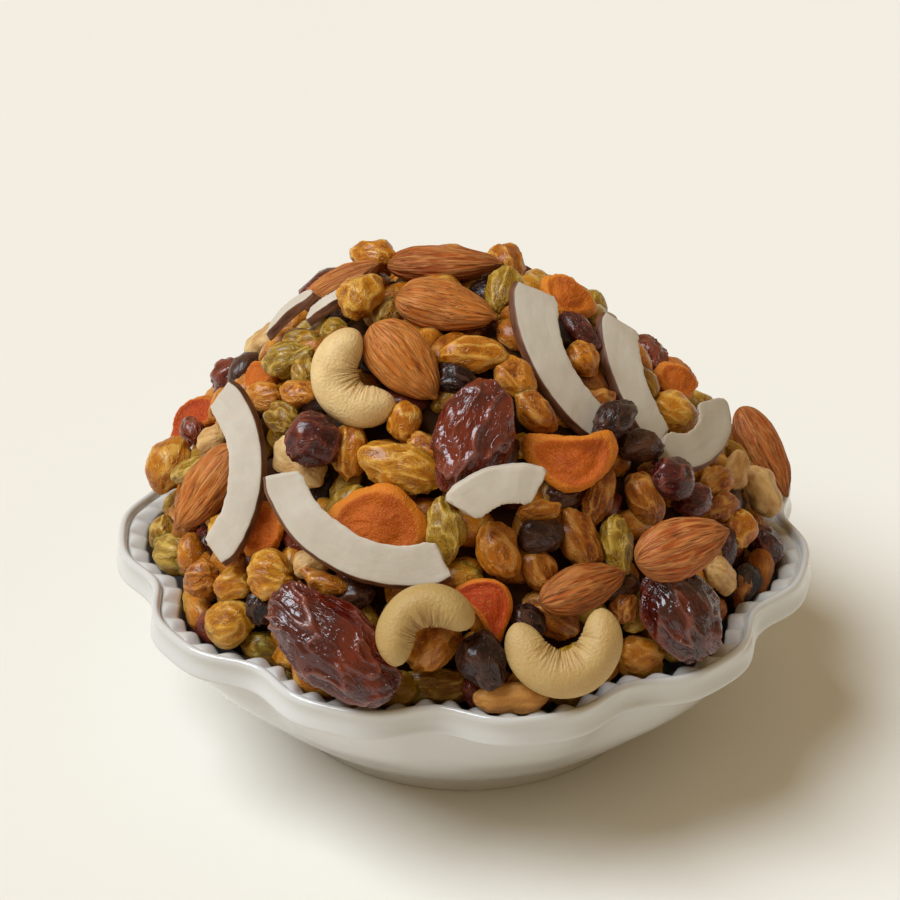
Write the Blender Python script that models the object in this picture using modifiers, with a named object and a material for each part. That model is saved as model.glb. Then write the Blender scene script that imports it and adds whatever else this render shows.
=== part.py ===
# A bowl of trail mix: raisins, nuts, dates, dried apricots, cherries and slices of
# coconut heaped in a white bowl with a scalloped rim.
# Sizes are in millimetres. The front of the heap faces -Y.

import math
import random
from collections import namedtuple

import bmesh
import bpy
from mathutils import Matrix, Vector, noise
from mathutils.bvhtree import BVHTree

MM = 0.001
GAP = 0.35

# Bowl
BOWL_HEIGHT = 48.6
LOBES = 11
BEADS_PER_LOBE = 7
COLUMNS = LOBES * BEADS_PER_LOBE * 2
FIRST_NOTCH = math.radians(167.3)
LIP_RADIUS = 80.8
LOBE_DEPTH = 5.4
LIP_HEIGHT = 8.0
LIP_WIDTH = 2.6
BEAD_BAND_WIDTH = 4.4
BEAD_RELIEF = 1.1
FOOT_RADIUS = 47.0
FOOT_HEIGHT = 4.0
FOOT_WIDTH = 4.5
FLOOR_HEIGHT = 6.5

# Bare core of the heap, before the small pieces are fused on
CORE_TOP = 118.0
CORE_FLAT = 109.5
CORE_FOOT = 46.0
CORE_RADIUS = 77.5
CORE_POWER = 1.65
CORE_WAIST = 67.0
CORE_LEAN = Vector((-4.8, -1.1, 0.0))
CORE_COLUMNS = LOBES * 3
CORE_ROWS = 5

# Line of sight along which the pieces of the front were placed. Spots on the heap are
# pixels (right, down) of a 900 x 900 picture seen from there.
SIGHT_FROM = Vector((0.0, -678.4, 469.9))
SIGHT_TO = Vector((-3.6, 0.0, 69.3))
SIGHT_PIXELS = 3196.0
PICTURE_CENTRE = 450.0
SIGHT_NEAR = 680.0
SIGHT_FAR = 920.0

# Settling: a piece is lifted off the core, a fused one sunk into it, step by step
LIFT_STEP = 0.4
LIFT_TRIES = 60
SINK_STEP = 0.8
SINK_TRIES = 6

# Forms of the kinds, as shares of a piece's own width, length or radius
ALMOND_FULL = 1.1
ALMOND_TAPER = 0.42
DATE_FOLD = 0.05
DATE_BULGE = 0.12
APRICOT_DENT = 0.28
APRICOT_CURL = 0.14
BEAN_MIDDLE = 0.35
NUT_WAIST = 0.1
CASHEW_FLATNESS = 0.9
CASHEW_TAPER = 0.1
COCONUT_BLUNT = 0.25
COCONUT_BOW = 0.06
RAISIN_FLATNESS = 0.82
RAISIN_LUMPS = 0.16
FUSED_LIFT = 0.4

# Small pieces of the sides and back, spread over the core by angle
FILL_SEED = 11
FILL_PIECES = 312
FILL_SPACING = 12.0
FILL_TOP = 108.0
FILL_FOOT = 50.0

# at: pixel of the middle; turn: degrees anticlockwise from the picture's right;
# size: length, width, thickness; face: 0 lies on the heap, 1 is turned to the viewer
Lying = namedtuple("Lying", "at turn size face")
# bean: how far a dried half is bent in its own plane, as a share of its width
Half = namedtuple("Half", "at turn size face bean")
Slice = namedtuple("Slice", "at turn radius sweep width taper face")
Bent = namedtuple("Bent", "at turn radius sweep thickness face")
Small = namedtuple("Small", "at turn length width")
# bearing: degrees anticlockwise from +X; height: above the table
Behind = namedtuple("Behind", "bearing height turn")

# Coconut slices are arcs; turn is the way their outer edge bulges
COCONUT_THICKNESS = 2.6
COCONUTS = [
    Slice(at=(248, 472), turn=0, radius=24.6, sweep=98, width=9.0, taper=0.0, face=0.6),
    Slice(at=(344, 551), turn=-118, radius=28.2, sweep=98, width=10.2, taper=0.0, face=0.5),
    Slice(at=(547, 362), turn=200, radius=28.8, sweep=78, width=10.6, taper=0.35, face=0.35),
    Slice(at=(626, 380), turn=188, radius=25.5, sweep=74, width=10.2, taper=0.3, face=0.35),
    Slice(at=(705, 444), turn=-52, radius=11.4, sweep=136, width=9.4, taper=0.0, face=0.35),
    Slice(at=(497, 486), turn=106, radius=14.0, sweep=80, width=9.6, taper=0.0, face=0.6),
    Slice(at=(289, 311), turn=-84, radius=20.0, sweep=42, width=6.2, taper=0.0, face=0.05),
    Slice(at=(325, 304), turn=-84, radius=14.0, sweep=44, width=5.0, taper=0.0, face=0.1),
]
COCONUTS_BEHIND = [
    Behind(bearing=52, height=74, turn=35),
    Behind(bearing=118, height=66, turn=-12),
]
COCONUT_BEHIND = Slice(at=None, turn=None, radius=26.0, sweep=90, width=9.5, taper=0.1, face=0.0)

DATES = [
    Lying(at=(332, 645), turn=-40, size=(37.0, 19.5, 17.0), face=0.3),
    Lying(at=(474, 437), turn=-109, size=(28.5, 17.5, 15.0), face=0.4),
    Lying(at=(683, 613), turn=-62, size=(24.0, 18.5, 15.0), face=0.4),
]
DATES_BEHIND = [
    Behind(bearing=97, height=61, turn=10),
    Behind(bearing=75, height=71, turn=65),
]
DATE_BEHIND = Lying(at=None, turn=None, size=(35.0, 18.5, 16.0), face=0.0)

# turn points along the sharper end
ALMONDS = [
    Lying(at=(445, 264), turn=0, size=(28.2, 13.5, 8.6), face=0.0),
    Lying(at=(447, 306), turn=-12, size=(24.8, 13.4, 8.8), face=0.5),
    Lying(at=(404, 362), turn=-49, size=(23.4, 14.6, 9.0), face=0.6),
    Lying(at=(207, 488), turn=-127, size=(25.0, 13.2, 8.8), face=0.4),
    Lying(at=(764, 452), turn=-62, size=(26.0, 12.4, 9.0), face=0.5),
    Lying(at=(683, 547), turn=19, size=(23.6, 14.4, 8.8), face=0.6),
    Lying(at=(584, 587), turn=20, size=(23.0, 11.4, 8.0), face=0.0),
    Lying(at=(343, 284), turn=30, size=(24.0, 13.0, 8.6), face=0.0),
]
ALMONDS_BEHIND = [
    Behind(bearing=60, height=88, turn=25),
    Behind(bearing=41, height=61, turn=-40),
    Behind(bearing=134, height=60, turn=10),
]
ALMOND_BEHIND = Lying(at=None, turn=None, size=(25.0, 13.6, 8.8), face=0.0)

# turn is the way the bend bulges
CASHEWS = [
    Bent(at=(369, 372), turn=208, radius=8.2, sweep=208, thickness=12.0, face=0.8),
    Bent(at=(562, 634), turn=280, radius=9.4, sweep=226, thickness=12.0, face=0.95),
    Bent(at=(432, 641), turn=118, radius=8.8, sweep=190, thickness=10.4, face=0.7),
]
CASHEWS_BEHIND = [
    Behind(bearing=126, height=86, turn=140),
]
CASHEW_BEHIND = Bent(at=None, turn=None, radius=8.4, sweep=200, thickness=8.8, face=0.0)

APRICOTS = [
    Half(at=(378, 524), turn=-20, size=(24.4, 19.5, 7.5), face=0.6, bean=0.0),
    Half(at=(571, 455), turn=4, size=(22.8, 13.5, 8.0), face=0.6, bean=0.45),
    Half(at=(483, 608), turn=-45, size=(17.5, 9.5, 6.0), face=0.6, bean=-0.75),
    Half(at=(567, 299), turn=-35, size=(15.5, 11.5, 6.0), face=0.5, bean=0.2),
    Half(at=(676, 382), turn=-28, size=(12.0, 10.0, 5.5), face=0.5, bean=0.2),
    Half(at=(262, 530), turn=70, size=(14.0, 10.5, 5.5), face=0.6, bean=0.1),
    Half(at=(184, 415), turn=42, size=(17.0, 11.0, 6.5), face=0.5, bean=0.0),
    Half(at=(261, 377), turn=10, size=(11.0, 9.0, 5.5), face=0.3, bean=0.2),
]
APRICOTS_BEHIND = [
    Behind(bearing=98, height=82, turn=10),
    Behind(bearing=140, height=76, turn=-20),
]
APRICOT_BEHIND = Half(at=None, turn=None, size=(23.0, 18.0, 7.5), face=0.0, bean=0.1)

# Peanuts and pieces of pale nut
NUTS = [
    Lying(at=(511, 697), turn=0, size=(17.5, 8.0, 7.5), face=0.3),
    Lying(at=(721, 576), turn=-46, size=(12.5, 8.0, 7.5), face=0.3),
    Lying(at=(762, 491), turn=-65, size=(14.0, 10.5, 9.5), face=0.3),
    Lying(at=(737, 470), turn=-102, size=(12.5, 7.0, 6.5), face=0.3),
    Lying(at=(258, 335), turn=35, size=(14.0, 9.5, 8.5), face=0.2),
    Lying(at=(300, 462), turn=-45, size=(16.0, 11.5, 7.5), face=0.4),
    Lying(at=(212, 440), turn=20, size=(9.0, 7.5, 7.0), face=0.3),
    Lying(at=(311, 562), turn=30, size=(9.5, 7.5, 6.5), face=0.3),
]

# Raisins, currants and cherries seen at the front, fused to the core
SMALL_FACE = 0.35
SMALLS = [
    Small((373, 254), -12, 10.0, 7.0), Small((362, 295), 66, 12.0, 10.0),
    Small((512, 251), -60, 7.5, 6.5), Small((472, 354), -3, 15.4, 8.2),
    Small((404, 421), -108, 9.0, 7.6), Small((401, 468), -19, 19.0, 11.0),
    Small((350, 453), -98, 13.0, 8.0), Small((674, 414), -35, 11.5, 10.5),
    Small((722, 387), 5, 10.5, 7.0), Small((740, 529), 80, 9.0, 8.5),
    Small((170, 465), 70, 13.0, 12.0), Small((230, 622), 0, 12.0, 11.0),
    Small((234, 584), 10, 9.0, 8.0), Small((271, 576), -20, 12.0, 10.5),
    Small((504, 291), -110, 13.0, 9.0), Small((597, 300), -78, 14.0, 8.5),
    Small((302, 341), 0, 11.0, 6.0), Small((286, 360), 18, 14.0, 8.0),
    Small((305, 375), -72, 8.0, 6.5), Small((283, 420), -50, 10.0, 7.5),
    Small((192, 472), 27, 12.0, 6.5), Small((445, 532), -84, 14.0, 8.0),
    Small((440, 685), -2, 18.0, 8.2), Small((617, 546), -80, 14.2, 7.6),
    Small((161, 534), 85, 9.5, 7.5), Small((176, 556), -20, 13.0, 9.0),
    Small((266, 648), -20, 11.0, 8.0), Small((264, 396), 0, 10.0, 7.0),
    Small((299, 394), 0, 10.0, 7.0), Small((584, 359), -60, 8.6, 8.4),
    Small((515, 380), -50, 11.0, 8.0), Small((499, 551), -73, 14.0, 9.6),
    Small((540, 512), 5, 10.0, 5.6), Small((580, 541), -67, 16.0, 9.0),
    Small((598, 495), -104, 14.0, 7.2), Small((645, 498), -66, 13.5, 8.8),
    Small((538, 570), -57, 10.0, 8.5), Small((550, 615), -34, 14.0, 9.3),
    Small((640, 655), -5, 10.5, 9.0), Small((625, 608), 60, 7.5, 6.5),
    Small((430, 643), -133, 13.5, 11.5), Small((202, 579), 0, 9.0, 8.6),
    Small((425, 448), -35, 10.0, 6.0), Small((458, 380), -10, 9.0, 6.5),
    Small((434, 410), -60, 9.0, 8.0), Small((484, 660), -70, 12.5, 9.5),
    Small((262, 607), 85, 9.0, 6.5), Small((541, 536), 0, 10.0, 8.0),
    Small((565, 497), 10, 8.0, 7.0), Small((528, 622), -45, 9.0, 7.0),
    Small((355, 593), 0, 8.0, 7.0), Small((503, 455), 60, 9.0, 7.0),
    Small((314, 440), 20, 12.5, 12.0), Small((660, 344), -60, 11.0, 8.5),
    Small((222, 371), 0, 10.8, 9.8), Small((672, 478), 10, 11.0, 10.0),
    Small((692, 500), 0, 8.0, 8.0), Small((766, 548), -70, 12.0, 9.0),
    Small((192, 430), -70, 8.0, 6.0), Small((722, 506), 20, 10.0, 7.0),
    Small((410, 692), 0, 12.0, 7.0), Small((300, 674), -25, 11.0, 7.0),
    Small((690, 374), -40, 7.5, 6.0), Small((335, 330), 0, 7.0, 6.0),
    Small((387, 312), 60, 9.0, 6.5), Small((610, 320), -80, 9.0, 6.0),
]


def clear_scene():
    for thing in list(bpy.data.objects):
        bpy.data.objects.remove(thing)


def new_collection(name):
    collection = bpy.data.collections.new(name)
    bpy.context.scene.collection.children.link(collection)
    return collection


def material(name, colour, roughness, coat=0.0):
    made = bpy.data.materials.new(name)
    made.use_nodes = True
    shader = made.node_tree.nodes["Principled BSDF"]
    shader.inputs["Base Color"].default_value = (*colour, 1.0)
    shader.inputs["Roughness"].default_value = roughness
    shader.inputs["Metallic"].default_value = 0.0
    shader.inputs["Coat Weight"].default_value = coat
    return made


def add_object(name, mesh, collection, finish):
    mesh.name = name
    mesh.materials.clear()
    mesh.materials.append(finish)
    mesh.shade_smooth()
    mesh.set_sharp_from_angle(angle=math.radians(40))
    made = bpy.data.objects.new(name, mesh)
    collection.objects.link(made)
    return made


def split_faces(mesh):
    """Cuts every face into triangles, so that clearances are measured on the final facets."""
    shape = bmesh.new()
    shape.from_mesh(mesh)
    bmesh.ops.triangulate(shape, faces=shape.faces)
    shape.to_mesh(mesh)
    shape.free()


def smooth_step(low, high, value):
    share = min(max((value - low) / (high - low), 0.0), 1.0)
    return share * share * (3.0 - 2.0 * share)


def scallop(bearing):
    """0 in a notch of the rim, 1 at the crown of a lobe."""
    phase = LOBES * (bearing - FIRST_NOTCH) - math.pi
    return (0.8 * math.cos(phase) - 0.2 * math.cos(2 * phase) + 1.0) / 1.6


# Bowl

def bowl_profile():
    """(radius, height) from the middle of the inside, over the lip and down to the foot."""
    groove = LIP_RADIUS - LIP_WIDTH
    bead = groove - BEAD_BAND_WIDTH
    lip_under = BOWL_HEIGHT - LIP_HEIGHT
    body = LIP_RADIUS - 3.0
    return [
        (0.0, FLOOR_HEIGHT),
        (FOOT_RADIUS + 3.0, FLOOR_HEIGHT + 4.0),
        (bead - 8.0, 26.0),
        (bead, 44.4),
        (groove, BOWL_HEIGHT - 1.6),
        (LIP_RADIUS - 1.3, BOWL_HEIGHT),
        (LIP_RADIUS, BOWL_HEIGHT - 3.0),
        (LIP_RADIUS - 1.2, lip_under),
        (body, lip_under - 0.2),
        (body - 7.0, 25.5),
        (FOOT_RADIUS + 8.0, 9.0),
        (FOOT_RADIUS + 0.6, FOOT_HEIGHT),
        (FOOT_RADIUS, 0.0),
        (FOOT_RADIUS - FOOT_WIDTH, 0.0),
        (FOOT_RADIUS - FOOT_WIDTH - 1.0, 2.5),
        (0.0, 2.5),
    ]


def wave_at(height, radius):
    """How much of the scallop reaches this height of the wall."""
    if radius < FOOT_RADIUS:
        return 0.0
    return smooth_step(22.0, 41.0, height)


def turned_mesh(profile, columns):
    mesh = bpy.data.meshes.new("profile")
    points = [(radius * MM, 0.0, height * MM) for radius, height in profile]
    edges = [(index, index + 1) for index in range(len(points) - 1)]
    mesh.from_pydata(points, edges, [])
    blank = bpy.data.objects.new("profile", mesh)
    bpy.context.scene.collection.objects.link(blank)
    screw = blank.modifiers.new("Turn", "SCREW")
    screw.steps = columns
    screw.render_steps = columns
    screw.use_merge_vertices = True
    screw.merge_threshold = 0.00001
    graph = bpy.context.evaluated_depsgraph_get()
    turned = bpy.data.meshes.new_from_object(blank.evaluated_get(graph))
    bpy.data.objects.remove(blank)
    return turned


def build_bowl(collection):
    mesh = turned_mesh(bowl_profile(), COLUMNS)
    bead_radius = LIP_RADIUS - LIP_WIDTH - BEAD_BAND_WIDTH
    for vertex in mesh.vertices:
        radius = math.hypot(vertex.co.x, vertex.co.y) / MM
        height = vertex.co.z / MM
        if radius < 1.0:
            continue
        column = round(math.atan2(vertex.co.y, vertex.co.x) / math.tau * COLUMNS)
        bearing = column / COLUMNS * math.tau + FIRST_NOTCH
        grown = radius + LOBE_DEPTH * wave_at(height, radius) * scallop(bearing)
        if abs(radius - bead_radius) < 0.1 and column % 2:
            grown -= BEAD_RELIEF * 0.5
            height += BEAD_RELIEF
        vertex.co = Vector((grown * math.cos(bearing), grown * math.sin(bearing), height)) * MM
    split_faces(mesh)
    finish = material("porcelain", (0.80, 0.78, 0.75), 0.25, coat=0.4)
    return add_object("bowl", mesh, collection, finish)


# Bare heap

def heap_distance(point):
    """Rough distance in millimetres of a point outside the bare core, negative inside."""
    rise = (point.z - CORE_FOOT) / (CORE_TOP - CORE_FOOT)
    out = point - CORE_LEAN * rise
    out.z = 0.0
    radius = max(out.length, 0.001)
    value = rise + (radius / CORE_RADIUS) ** CORE_POWER - 1.0
    slope = CORE_POWER / CORE_RADIUS * (radius / CORE_RADIUS) ** (CORE_POWER - 1.0)
    dome = value / math.hypot(slope, 1.0 / (CORE_TOP - CORE_FOOT))
    waist = CORE_WAIST + 0.9 * LOBE_DEPTH * scallop(math.atan2(point.y, point.x))
    return max(dome, point.z - CORE_FLAT, math.hypot(point.x, point.y) - waist)


def heap_normal(point):
    step = 1.0
    across = Vector((step, 0.0, 0.0))
    along = Vector((0.0, step, 0.0))
    rise = Vector((0.0, 0.0, step))
    return Vector((
        heap_distance(point + across) - heap_distance(point - across),
        heap_distance(point + along) - heap_distance(point - along),
        heap_distance(point + rise) - heap_distance(point - rise),
    )).normalized()


def core_radius(bearing, height):
    """Radius of the bare core at a height, found by halving."""
    low = 0.0
    high = CORE_RADIUS + 10.0
    for _ in range(30):
        middle = 0.5 * (low + high)
        point = Vector((middle * math.cos(bearing), middle * math.sin(bearing), height))
        if heap_distance(point) < 0.0:
            low = middle
        else:
            high = middle
    return low


def core_profile():
    """(radius, height) from the flat top down to the bowl's floor."""
    clear = 0.8
    bead = LIP_RADIUS - LIP_WIDTH - BEAD_BAND_WIDTH
    flat_share = 1.0 - (CORE_FLAT - CORE_FOOT) / (CORE_TOP - CORE_FOOT)
    flat = CORE_RADIUS * flat_share ** (1.0 / CORE_POWER)
    rows = [(0.0, CORE_FLAT)]
    for row in range(CORE_ROWS + 1):
        radius = flat + (CORE_WAIST - flat) * row / CORE_ROWS
        drop = (radius / CORE_RADIUS) ** CORE_POWER
        rows.append((radius, CORE_FOOT + (CORE_TOP - CORE_FOOT) * (1.0 - drop)))
    rows.append((CORE_WAIST, 42.0))
    rows.append((bead - 4.6, 36.0))
    rows.append((bead - 8.0 - clear, 26.0))
    rows.append((FOOT_RADIUS + 3.0 - clear, FLOOR_HEIGHT + 4.0 + clear))
    rows.append((0.0, FLOOR_HEIGHT + clear))
    return rows


def build_core():
    mesh = turned_mesh(core_profile(), CORE_COLUMNS)
    for vertex in mesh.vertices:
        height = vertex.co.z / MM
        rise = max((height - CORE_FOOT) / (CORE_TOP - CORE_FOOT), 0.0)
        fade = smooth_step(36.0, 42.0, height) * (1.0 - smooth_step(0.0, 0.5, rise))
        lobe = 0.9 * LOBE_DEPTH * fade
        radius = math.hypot(vertex.co.x, vertex.co.y)
        if radius > 0.001:
            bearing = math.atan2(vertex.co.y, vertex.co.x) + FIRST_NOTCH
            grown = radius + lobe * scallop(bearing) * MM
            vertex.co.x = grown * math.cos(bearing)
            vertex.co.y = grown * math.sin(bearing)
        vertex.co += CORE_LEAN * rise * MM
    split_faces(mesh)
    return mesh


# Placing

def sight_axes():
    ahead = (SIGHT_TO - SIGHT_FROM).normalized()
    right = ahead.cross(Vector((0.0, 0.0, 1.0))).normalized()
    return ahead, right, right.cross(ahead)


def sight_line(pixel):
    ahead, right, up = sight_axes()
    line = ahead * SIGHT_PIXELS
    line += right * (pixel[0] - PICTURE_CENTRE) - up * (pixel[1] - PICTURE_CENTRE)
    return line.normalized()


def on_sight(pixel, lift):
    """Point under a pixel at this distance from the core, or the nearest one to it."""
    line = sight_line(pixel)
    best = None
    nearest = 1e9
    reach = SIGHT_NEAR
    while reach < SIGHT_FAR:
        point = SIGHT_FROM + line * reach
        away = heap_distance(point) - lift
        if away < nearest:
            nearest = away
            best = point
        if away < 0.05:
            return best
        reach += max(away * 0.5, 0.1)
    return best - heap_normal(best) * nearest


def on_bearing(bearing, height, lift):
    turn = math.radians(bearing)
    radius = core_radius(turn, height)
    point = Vector((radius * math.cos(turn), radius * math.sin(turn), height))
    return point + heap_normal(point) * lift


def pose(point, normal, long_way):
    """Frame at a point: X along the piece, Z out of the heap."""
    along = (long_way - normal * long_way.dot(normal)).normalized()
    across = normal.cross(along)
    turned = Matrix((along, across, normal)).transposed().to_4x4()
    return Matrix.Translation(point * MM) @ turned


def front_pose(spot, lift):
    point = on_sight(spot.at, lift)
    right, up = sight_axes()[1:]
    line = sight_line(spot.at)
    face = getattr(spot, "face", SMALL_FACE)
    normal = heap_normal(point).lerp(-line, face).normalized()
    turn = math.radians(spot.turn)
    way = right * math.cos(turn) + up * math.sin(turn)
    # the long way in the picture is carried along the sight line into the piece's plane
    way = way - line * (way.dot(normal) / line.dot(normal))
    return pose(point, normal, way)


def back_pose(place, lift):
    point = on_bearing(place.bearing, place.height, lift)
    normal = heap_normal(point)
    level = Vector((0.0, 0.0, 1.0)).cross(normal).normalized()
    rise = normal.cross(level)
    turn = math.radians(place.turn)
    return pose(point, normal, level * math.cos(turn) + rise * math.sin(turn))


# Shapes of the pieces, long way along X

def ball(length, width, thickness, around, along):
    piece = bmesh.new()
    bmesh.ops.create_uvsphere(piece, u_segments=around, v_segments=along, radius=1.0)
    bmesh.ops.rotate(piece, verts=piece.verts, matrix=Matrix.Rotation(math.pi / 2, 3, "Y"))
    half = Vector((length, width, thickness)) * 0.5
    for vertex in piece.verts:
        vertex.co = Vector((vertex.co.x * half.x, vertex.co.y * half.y, vertex.co.z * half.z))
    return piece


def almond_shape(size):
    length, width, thickness = size
    piece = ball(length, width, thickness, 8, 5)
    for vertex in piece.verts:
        share = vertex.co.x / length + 0.5
        narrow = ALMOND_FULL - ALMOND_TAPER * share * share
        vertex.co.y *= narrow
        vertex.co.z *= narrow
    return piece


def date_shape(size):
    length, width, thickness = size
    piece = ball(length, width, thickness, 10, 6)
    for vertex in piece.verts:
        around = math.atan2(vertex.co.z / thickness, vertex.co.y / width)
        fold = 1.0 + DATE_FOLD * math.sin(3 * around + 9.0 * vertex.co.x / length)
        full = 1.0 + DATE_BULGE * (1.0 - (2.0 * vertex.co.x / length) ** 2)
        grown = fold * full / (1.0 + DATE_BULGE * 0.5)
        vertex.co.y *= grown
        vertex.co.z *= grown
    return piece


def apricot_shape(half):
    length, width, thickness = half.size
    piece = ball(thickness, length, width, 12, 4)
    bmesh.ops.rotate(piece, verts=piece.verts, matrix=Matrix.Rotation(-math.pi / 2, 3, "Y"))
    bmesh.ops.rotate(piece, verts=piece.verts, matrix=Matrix.Rotation(-math.pi / 2, 3, "Z"))
    for vertex in piece.verts:
        out = math.hypot(vertex.co.x / length, vertex.co.y / width) * 2.0
        if vertex.co.z > 0:
            vertex.co.z *= 1.0 - APRICOT_DENT * (1.0 - smooth_step(0.0, 0.7, out))
        vertex.co.z += APRICOT_CURL * thickness * math.cos(math.tau * vertex.co.x / length)
        share = 2.0 * vertex.co.x / length
        vertex.co.y += half.bean * (share * share - BEAN_MIDDLE) * width
    return piece


def nut_shape(size):
    length, width, thickness = size
    piece = ball(length, width, thickness, 6, 5)
    for vertex in piece.verts:
        waist = 1.0 - NUT_WAIST * math.cos(4.0 * math.pi * vertex.co.x / length)
        vertex.co.y *= waist
    return piece


def cashew_shape(bent):
    """Bent round the origin, its bulge along +X."""
    arc = math.radians(bent.sweep)
    thick = bent.thickness * 0.5
    piece = ball(2.0, bent.thickness, bent.thickness * CASHEW_FLATNESS, 8, 8)
    for vertex in piece.verts:
        share = vertex.co.x
        ring = math.sqrt(max(1.0 - share * share, 1e-6))
        swell = 1.0 - CASHEW_TAPER * (1.0 - math.cos(share * math.pi * 0.5))
        girth = min(1.0, ring * 1.45 + 0.2) / ring * swell if ring > 0.01 else 1.0
        side = vertex.co.y * girth
        turn = math.asin(max(min(share, 1.0), -1.0)) / math.pi * arc
        radius = bent.radius + side
        flat = vertex.co.z * girth
        vertex.co = Vector((radius * math.cos(turn), radius * math.sin(turn), flat))
    middle = Vector((bent.radius * 0.2 - thick * 0.2, 0.0, 0.0))
    bmesh.ops.translate(piece, verts=piece.verts, vec=-middle)
    return piece


def coconut_shape(cut):
    """An arc of even width, its outer edge towards +X."""
    steps = 8
    piece = bmesh.new()
    bmesh.ops.create_grid(piece, x_segments=1, y_segments=steps, size=0.5)
    arc = math.radians(cut.sweep)
    for vertex in piece.verts:
        share = vertex.co.y
        width = cut.width * (1.0 - cut.taper * share)
        width *= 1.0 - COCONUT_BLUNT * smooth_step(0.36, 0.5, abs(share))
        radius = cut.radius + 0.5 * cut.width + (vertex.co.x - 0.5) * width
        bow = COCONUT_BOW * cut.radius * math.cos(share * math.pi)
        turn = share * arc
        vertex.co = Vector((radius * math.cos(turn), radius * math.sin(turn), bow))
    bmesh.ops.solidify(piece, geom=piece.faces[:], thickness=COCONUT_THICKNESS)
    middle = Vector((cut.radius, 0.0, 0.0))
    bmesh.ops.translate(piece, verts=piece.verts, vec=-middle)
    return piece


def raisin_shape(length, width, rings, seed):
    thickness = width * RAISIN_FLATNESS
    piece = ball(length, width, thickness, 5, rings)
    for vertex in piece.verts:
        spot = vertex.co * 0.22 + Vector((seed * 3.1, seed * 1.7, 0.0))
        vertex.co *= 1.0 + RAISIN_LUMPS * noise.noise(spot)
    return piece


# Settling

def finish_piece(piece, matrix):
    """Millimetre shape into its place in metres, faces pointing out."""
    bmesh.ops.scale(piece, verts=piece.verts, vec=(MM, MM, MM))
    bmesh.ops.transform(piece, verts=piece.verts, matrix=matrix)
    bmesh.ops.recalc_face_normals(piece, faces=piece.faces)
    bmesh.ops.triangulate(piece, faces=piece.faces)
    mesh = bpy.data.meshes.new("piece")
    piece.to_mesh(mesh)
    piece.free()
    return mesh


def tree_of(mesh, grow=0.0):
    points = [vertex.co + vertex.normal * grow * MM for vertex in mesh.vertices]
    return BVHTree.FromPolygons(points, [list(face.vertices) for face in mesh.polygons])


def is_free(mesh, trees):
    """True where the grown piece cuts none of the others."""
    grown = tree_of(mesh, GAP)
    return not any(grown.overlap(tree) for tree in trees)


def settle(name, shape, place, lift, trees, collection, finish):
    """Lifts a piece off the core along its sight line until it is free of the others."""
    for step in range(LIFT_TRIES):
        mesh = finish_piece(shape(), place(lift + LIFT_STEP * step))
        if is_free(mesh, trees):
            trees.append(tree_of(mesh))
            return add_object(name, mesh, collection, finish)
        bpy.data.meshes.remove(mesh)
    raise ValueError(name + " finds no free place")


def settle_all(collection, bowl, core):
    """Lays every large piece on the bare core, the lowest first."""
    trees = [tree_of(bowl.data), tree_of(core)]
    brown = material("almond_skin", (0.36, 0.16, 0.07), 0.55)
    cream = material("cashew_flesh", (0.62, 0.47, 0.28), 0.5)
    tan = material("nut_flesh", (0.60, 0.42, 0.22), 0.5)
    dark = material("date_skin", (0.20, 0.06, 0.04), 0.25, coat=0.3)
    orange = material("apricot_flesh", (0.62, 0.20, 0.05), 0.5)
    white = material("coconut_flesh", (0.74, 0.70, 0.65), 0.6)

    def lay(kind, spots, behind, plain, shape, half, finish):
        for number, spot in enumerate(spots, 1):
            yield (f"{kind}_{number}", lambda s=spot: shape(s),
                   lambda lift, s=spot: front_pose(s, lift), half(spot), finish)
        for number, spot in enumerate(behind, len(spots) + 1):
            yield (f"{kind}_{number}", lambda: shape(plain),
                   lambda lift, s=spot: back_pose(s, lift), half(plain), finish)

    def lying_half(spot):
        return spot.size[2] * 0.5

    def bent_half(spot):
        return spot.thickness * 0.45

    def slice_half(spot):
        return COCONUT_THICKNESS * 0.5

    def sized(shape):
        return lambda spot: shape(spot.size)

    order = []
    order += lay("nut", NUTS, [], None, sized(nut_shape), lying_half, tan)
    order += lay("date", DATES, DATES_BEHIND, DATE_BEHIND, sized(date_shape), lying_half, dark)
    order += lay("apricot", APRICOTS, APRICOTS_BEHIND, APRICOT_BEHIND, apricot_shape,
                 lying_half, orange)
    order += lay("almond", ALMONDS, ALMONDS_BEHIND, ALMOND_BEHIND, sized(almond_shape),
                 lying_half, brown)
    order += lay("cashew", CASHEWS, CASHEWS_BEHIND, CASHEW_BEHIND, cashew_shape, bent_half, cream)
    order += lay("coconut", COCONUTS, COCONUTS_BEHIND, COCONUT_BEHIND, coconut_shape,
                 slice_half, white)
    for name, shape, place, lift, finish in order:
        settle(name, shape, place, lift, trees, collection, finish)
    return trees


def fill_spots():
    """Evenly spread spots over the dome, as (point, way), by a seeded draw."""
    draw = random.Random(FILL_SEED)
    golden = math.pi * (3.0 - math.sqrt(5.0))
    for index in range(FILL_PIECES):
        share = (index + 0.5) / FILL_PIECES
        height = FILL_TOP - (FILL_TOP - FILL_FOOT) * share ** 0.9
        bearing = index * golden + draw.uniform(-0.06, 0.06)
        turn = draw.uniform(0.0, 180.0)
        length = draw.uniform(11.0, 15.0)
        yield Behind(math.degrees(bearing), height, turn), length, length * draw.uniform(0.6, 0.75)


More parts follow.
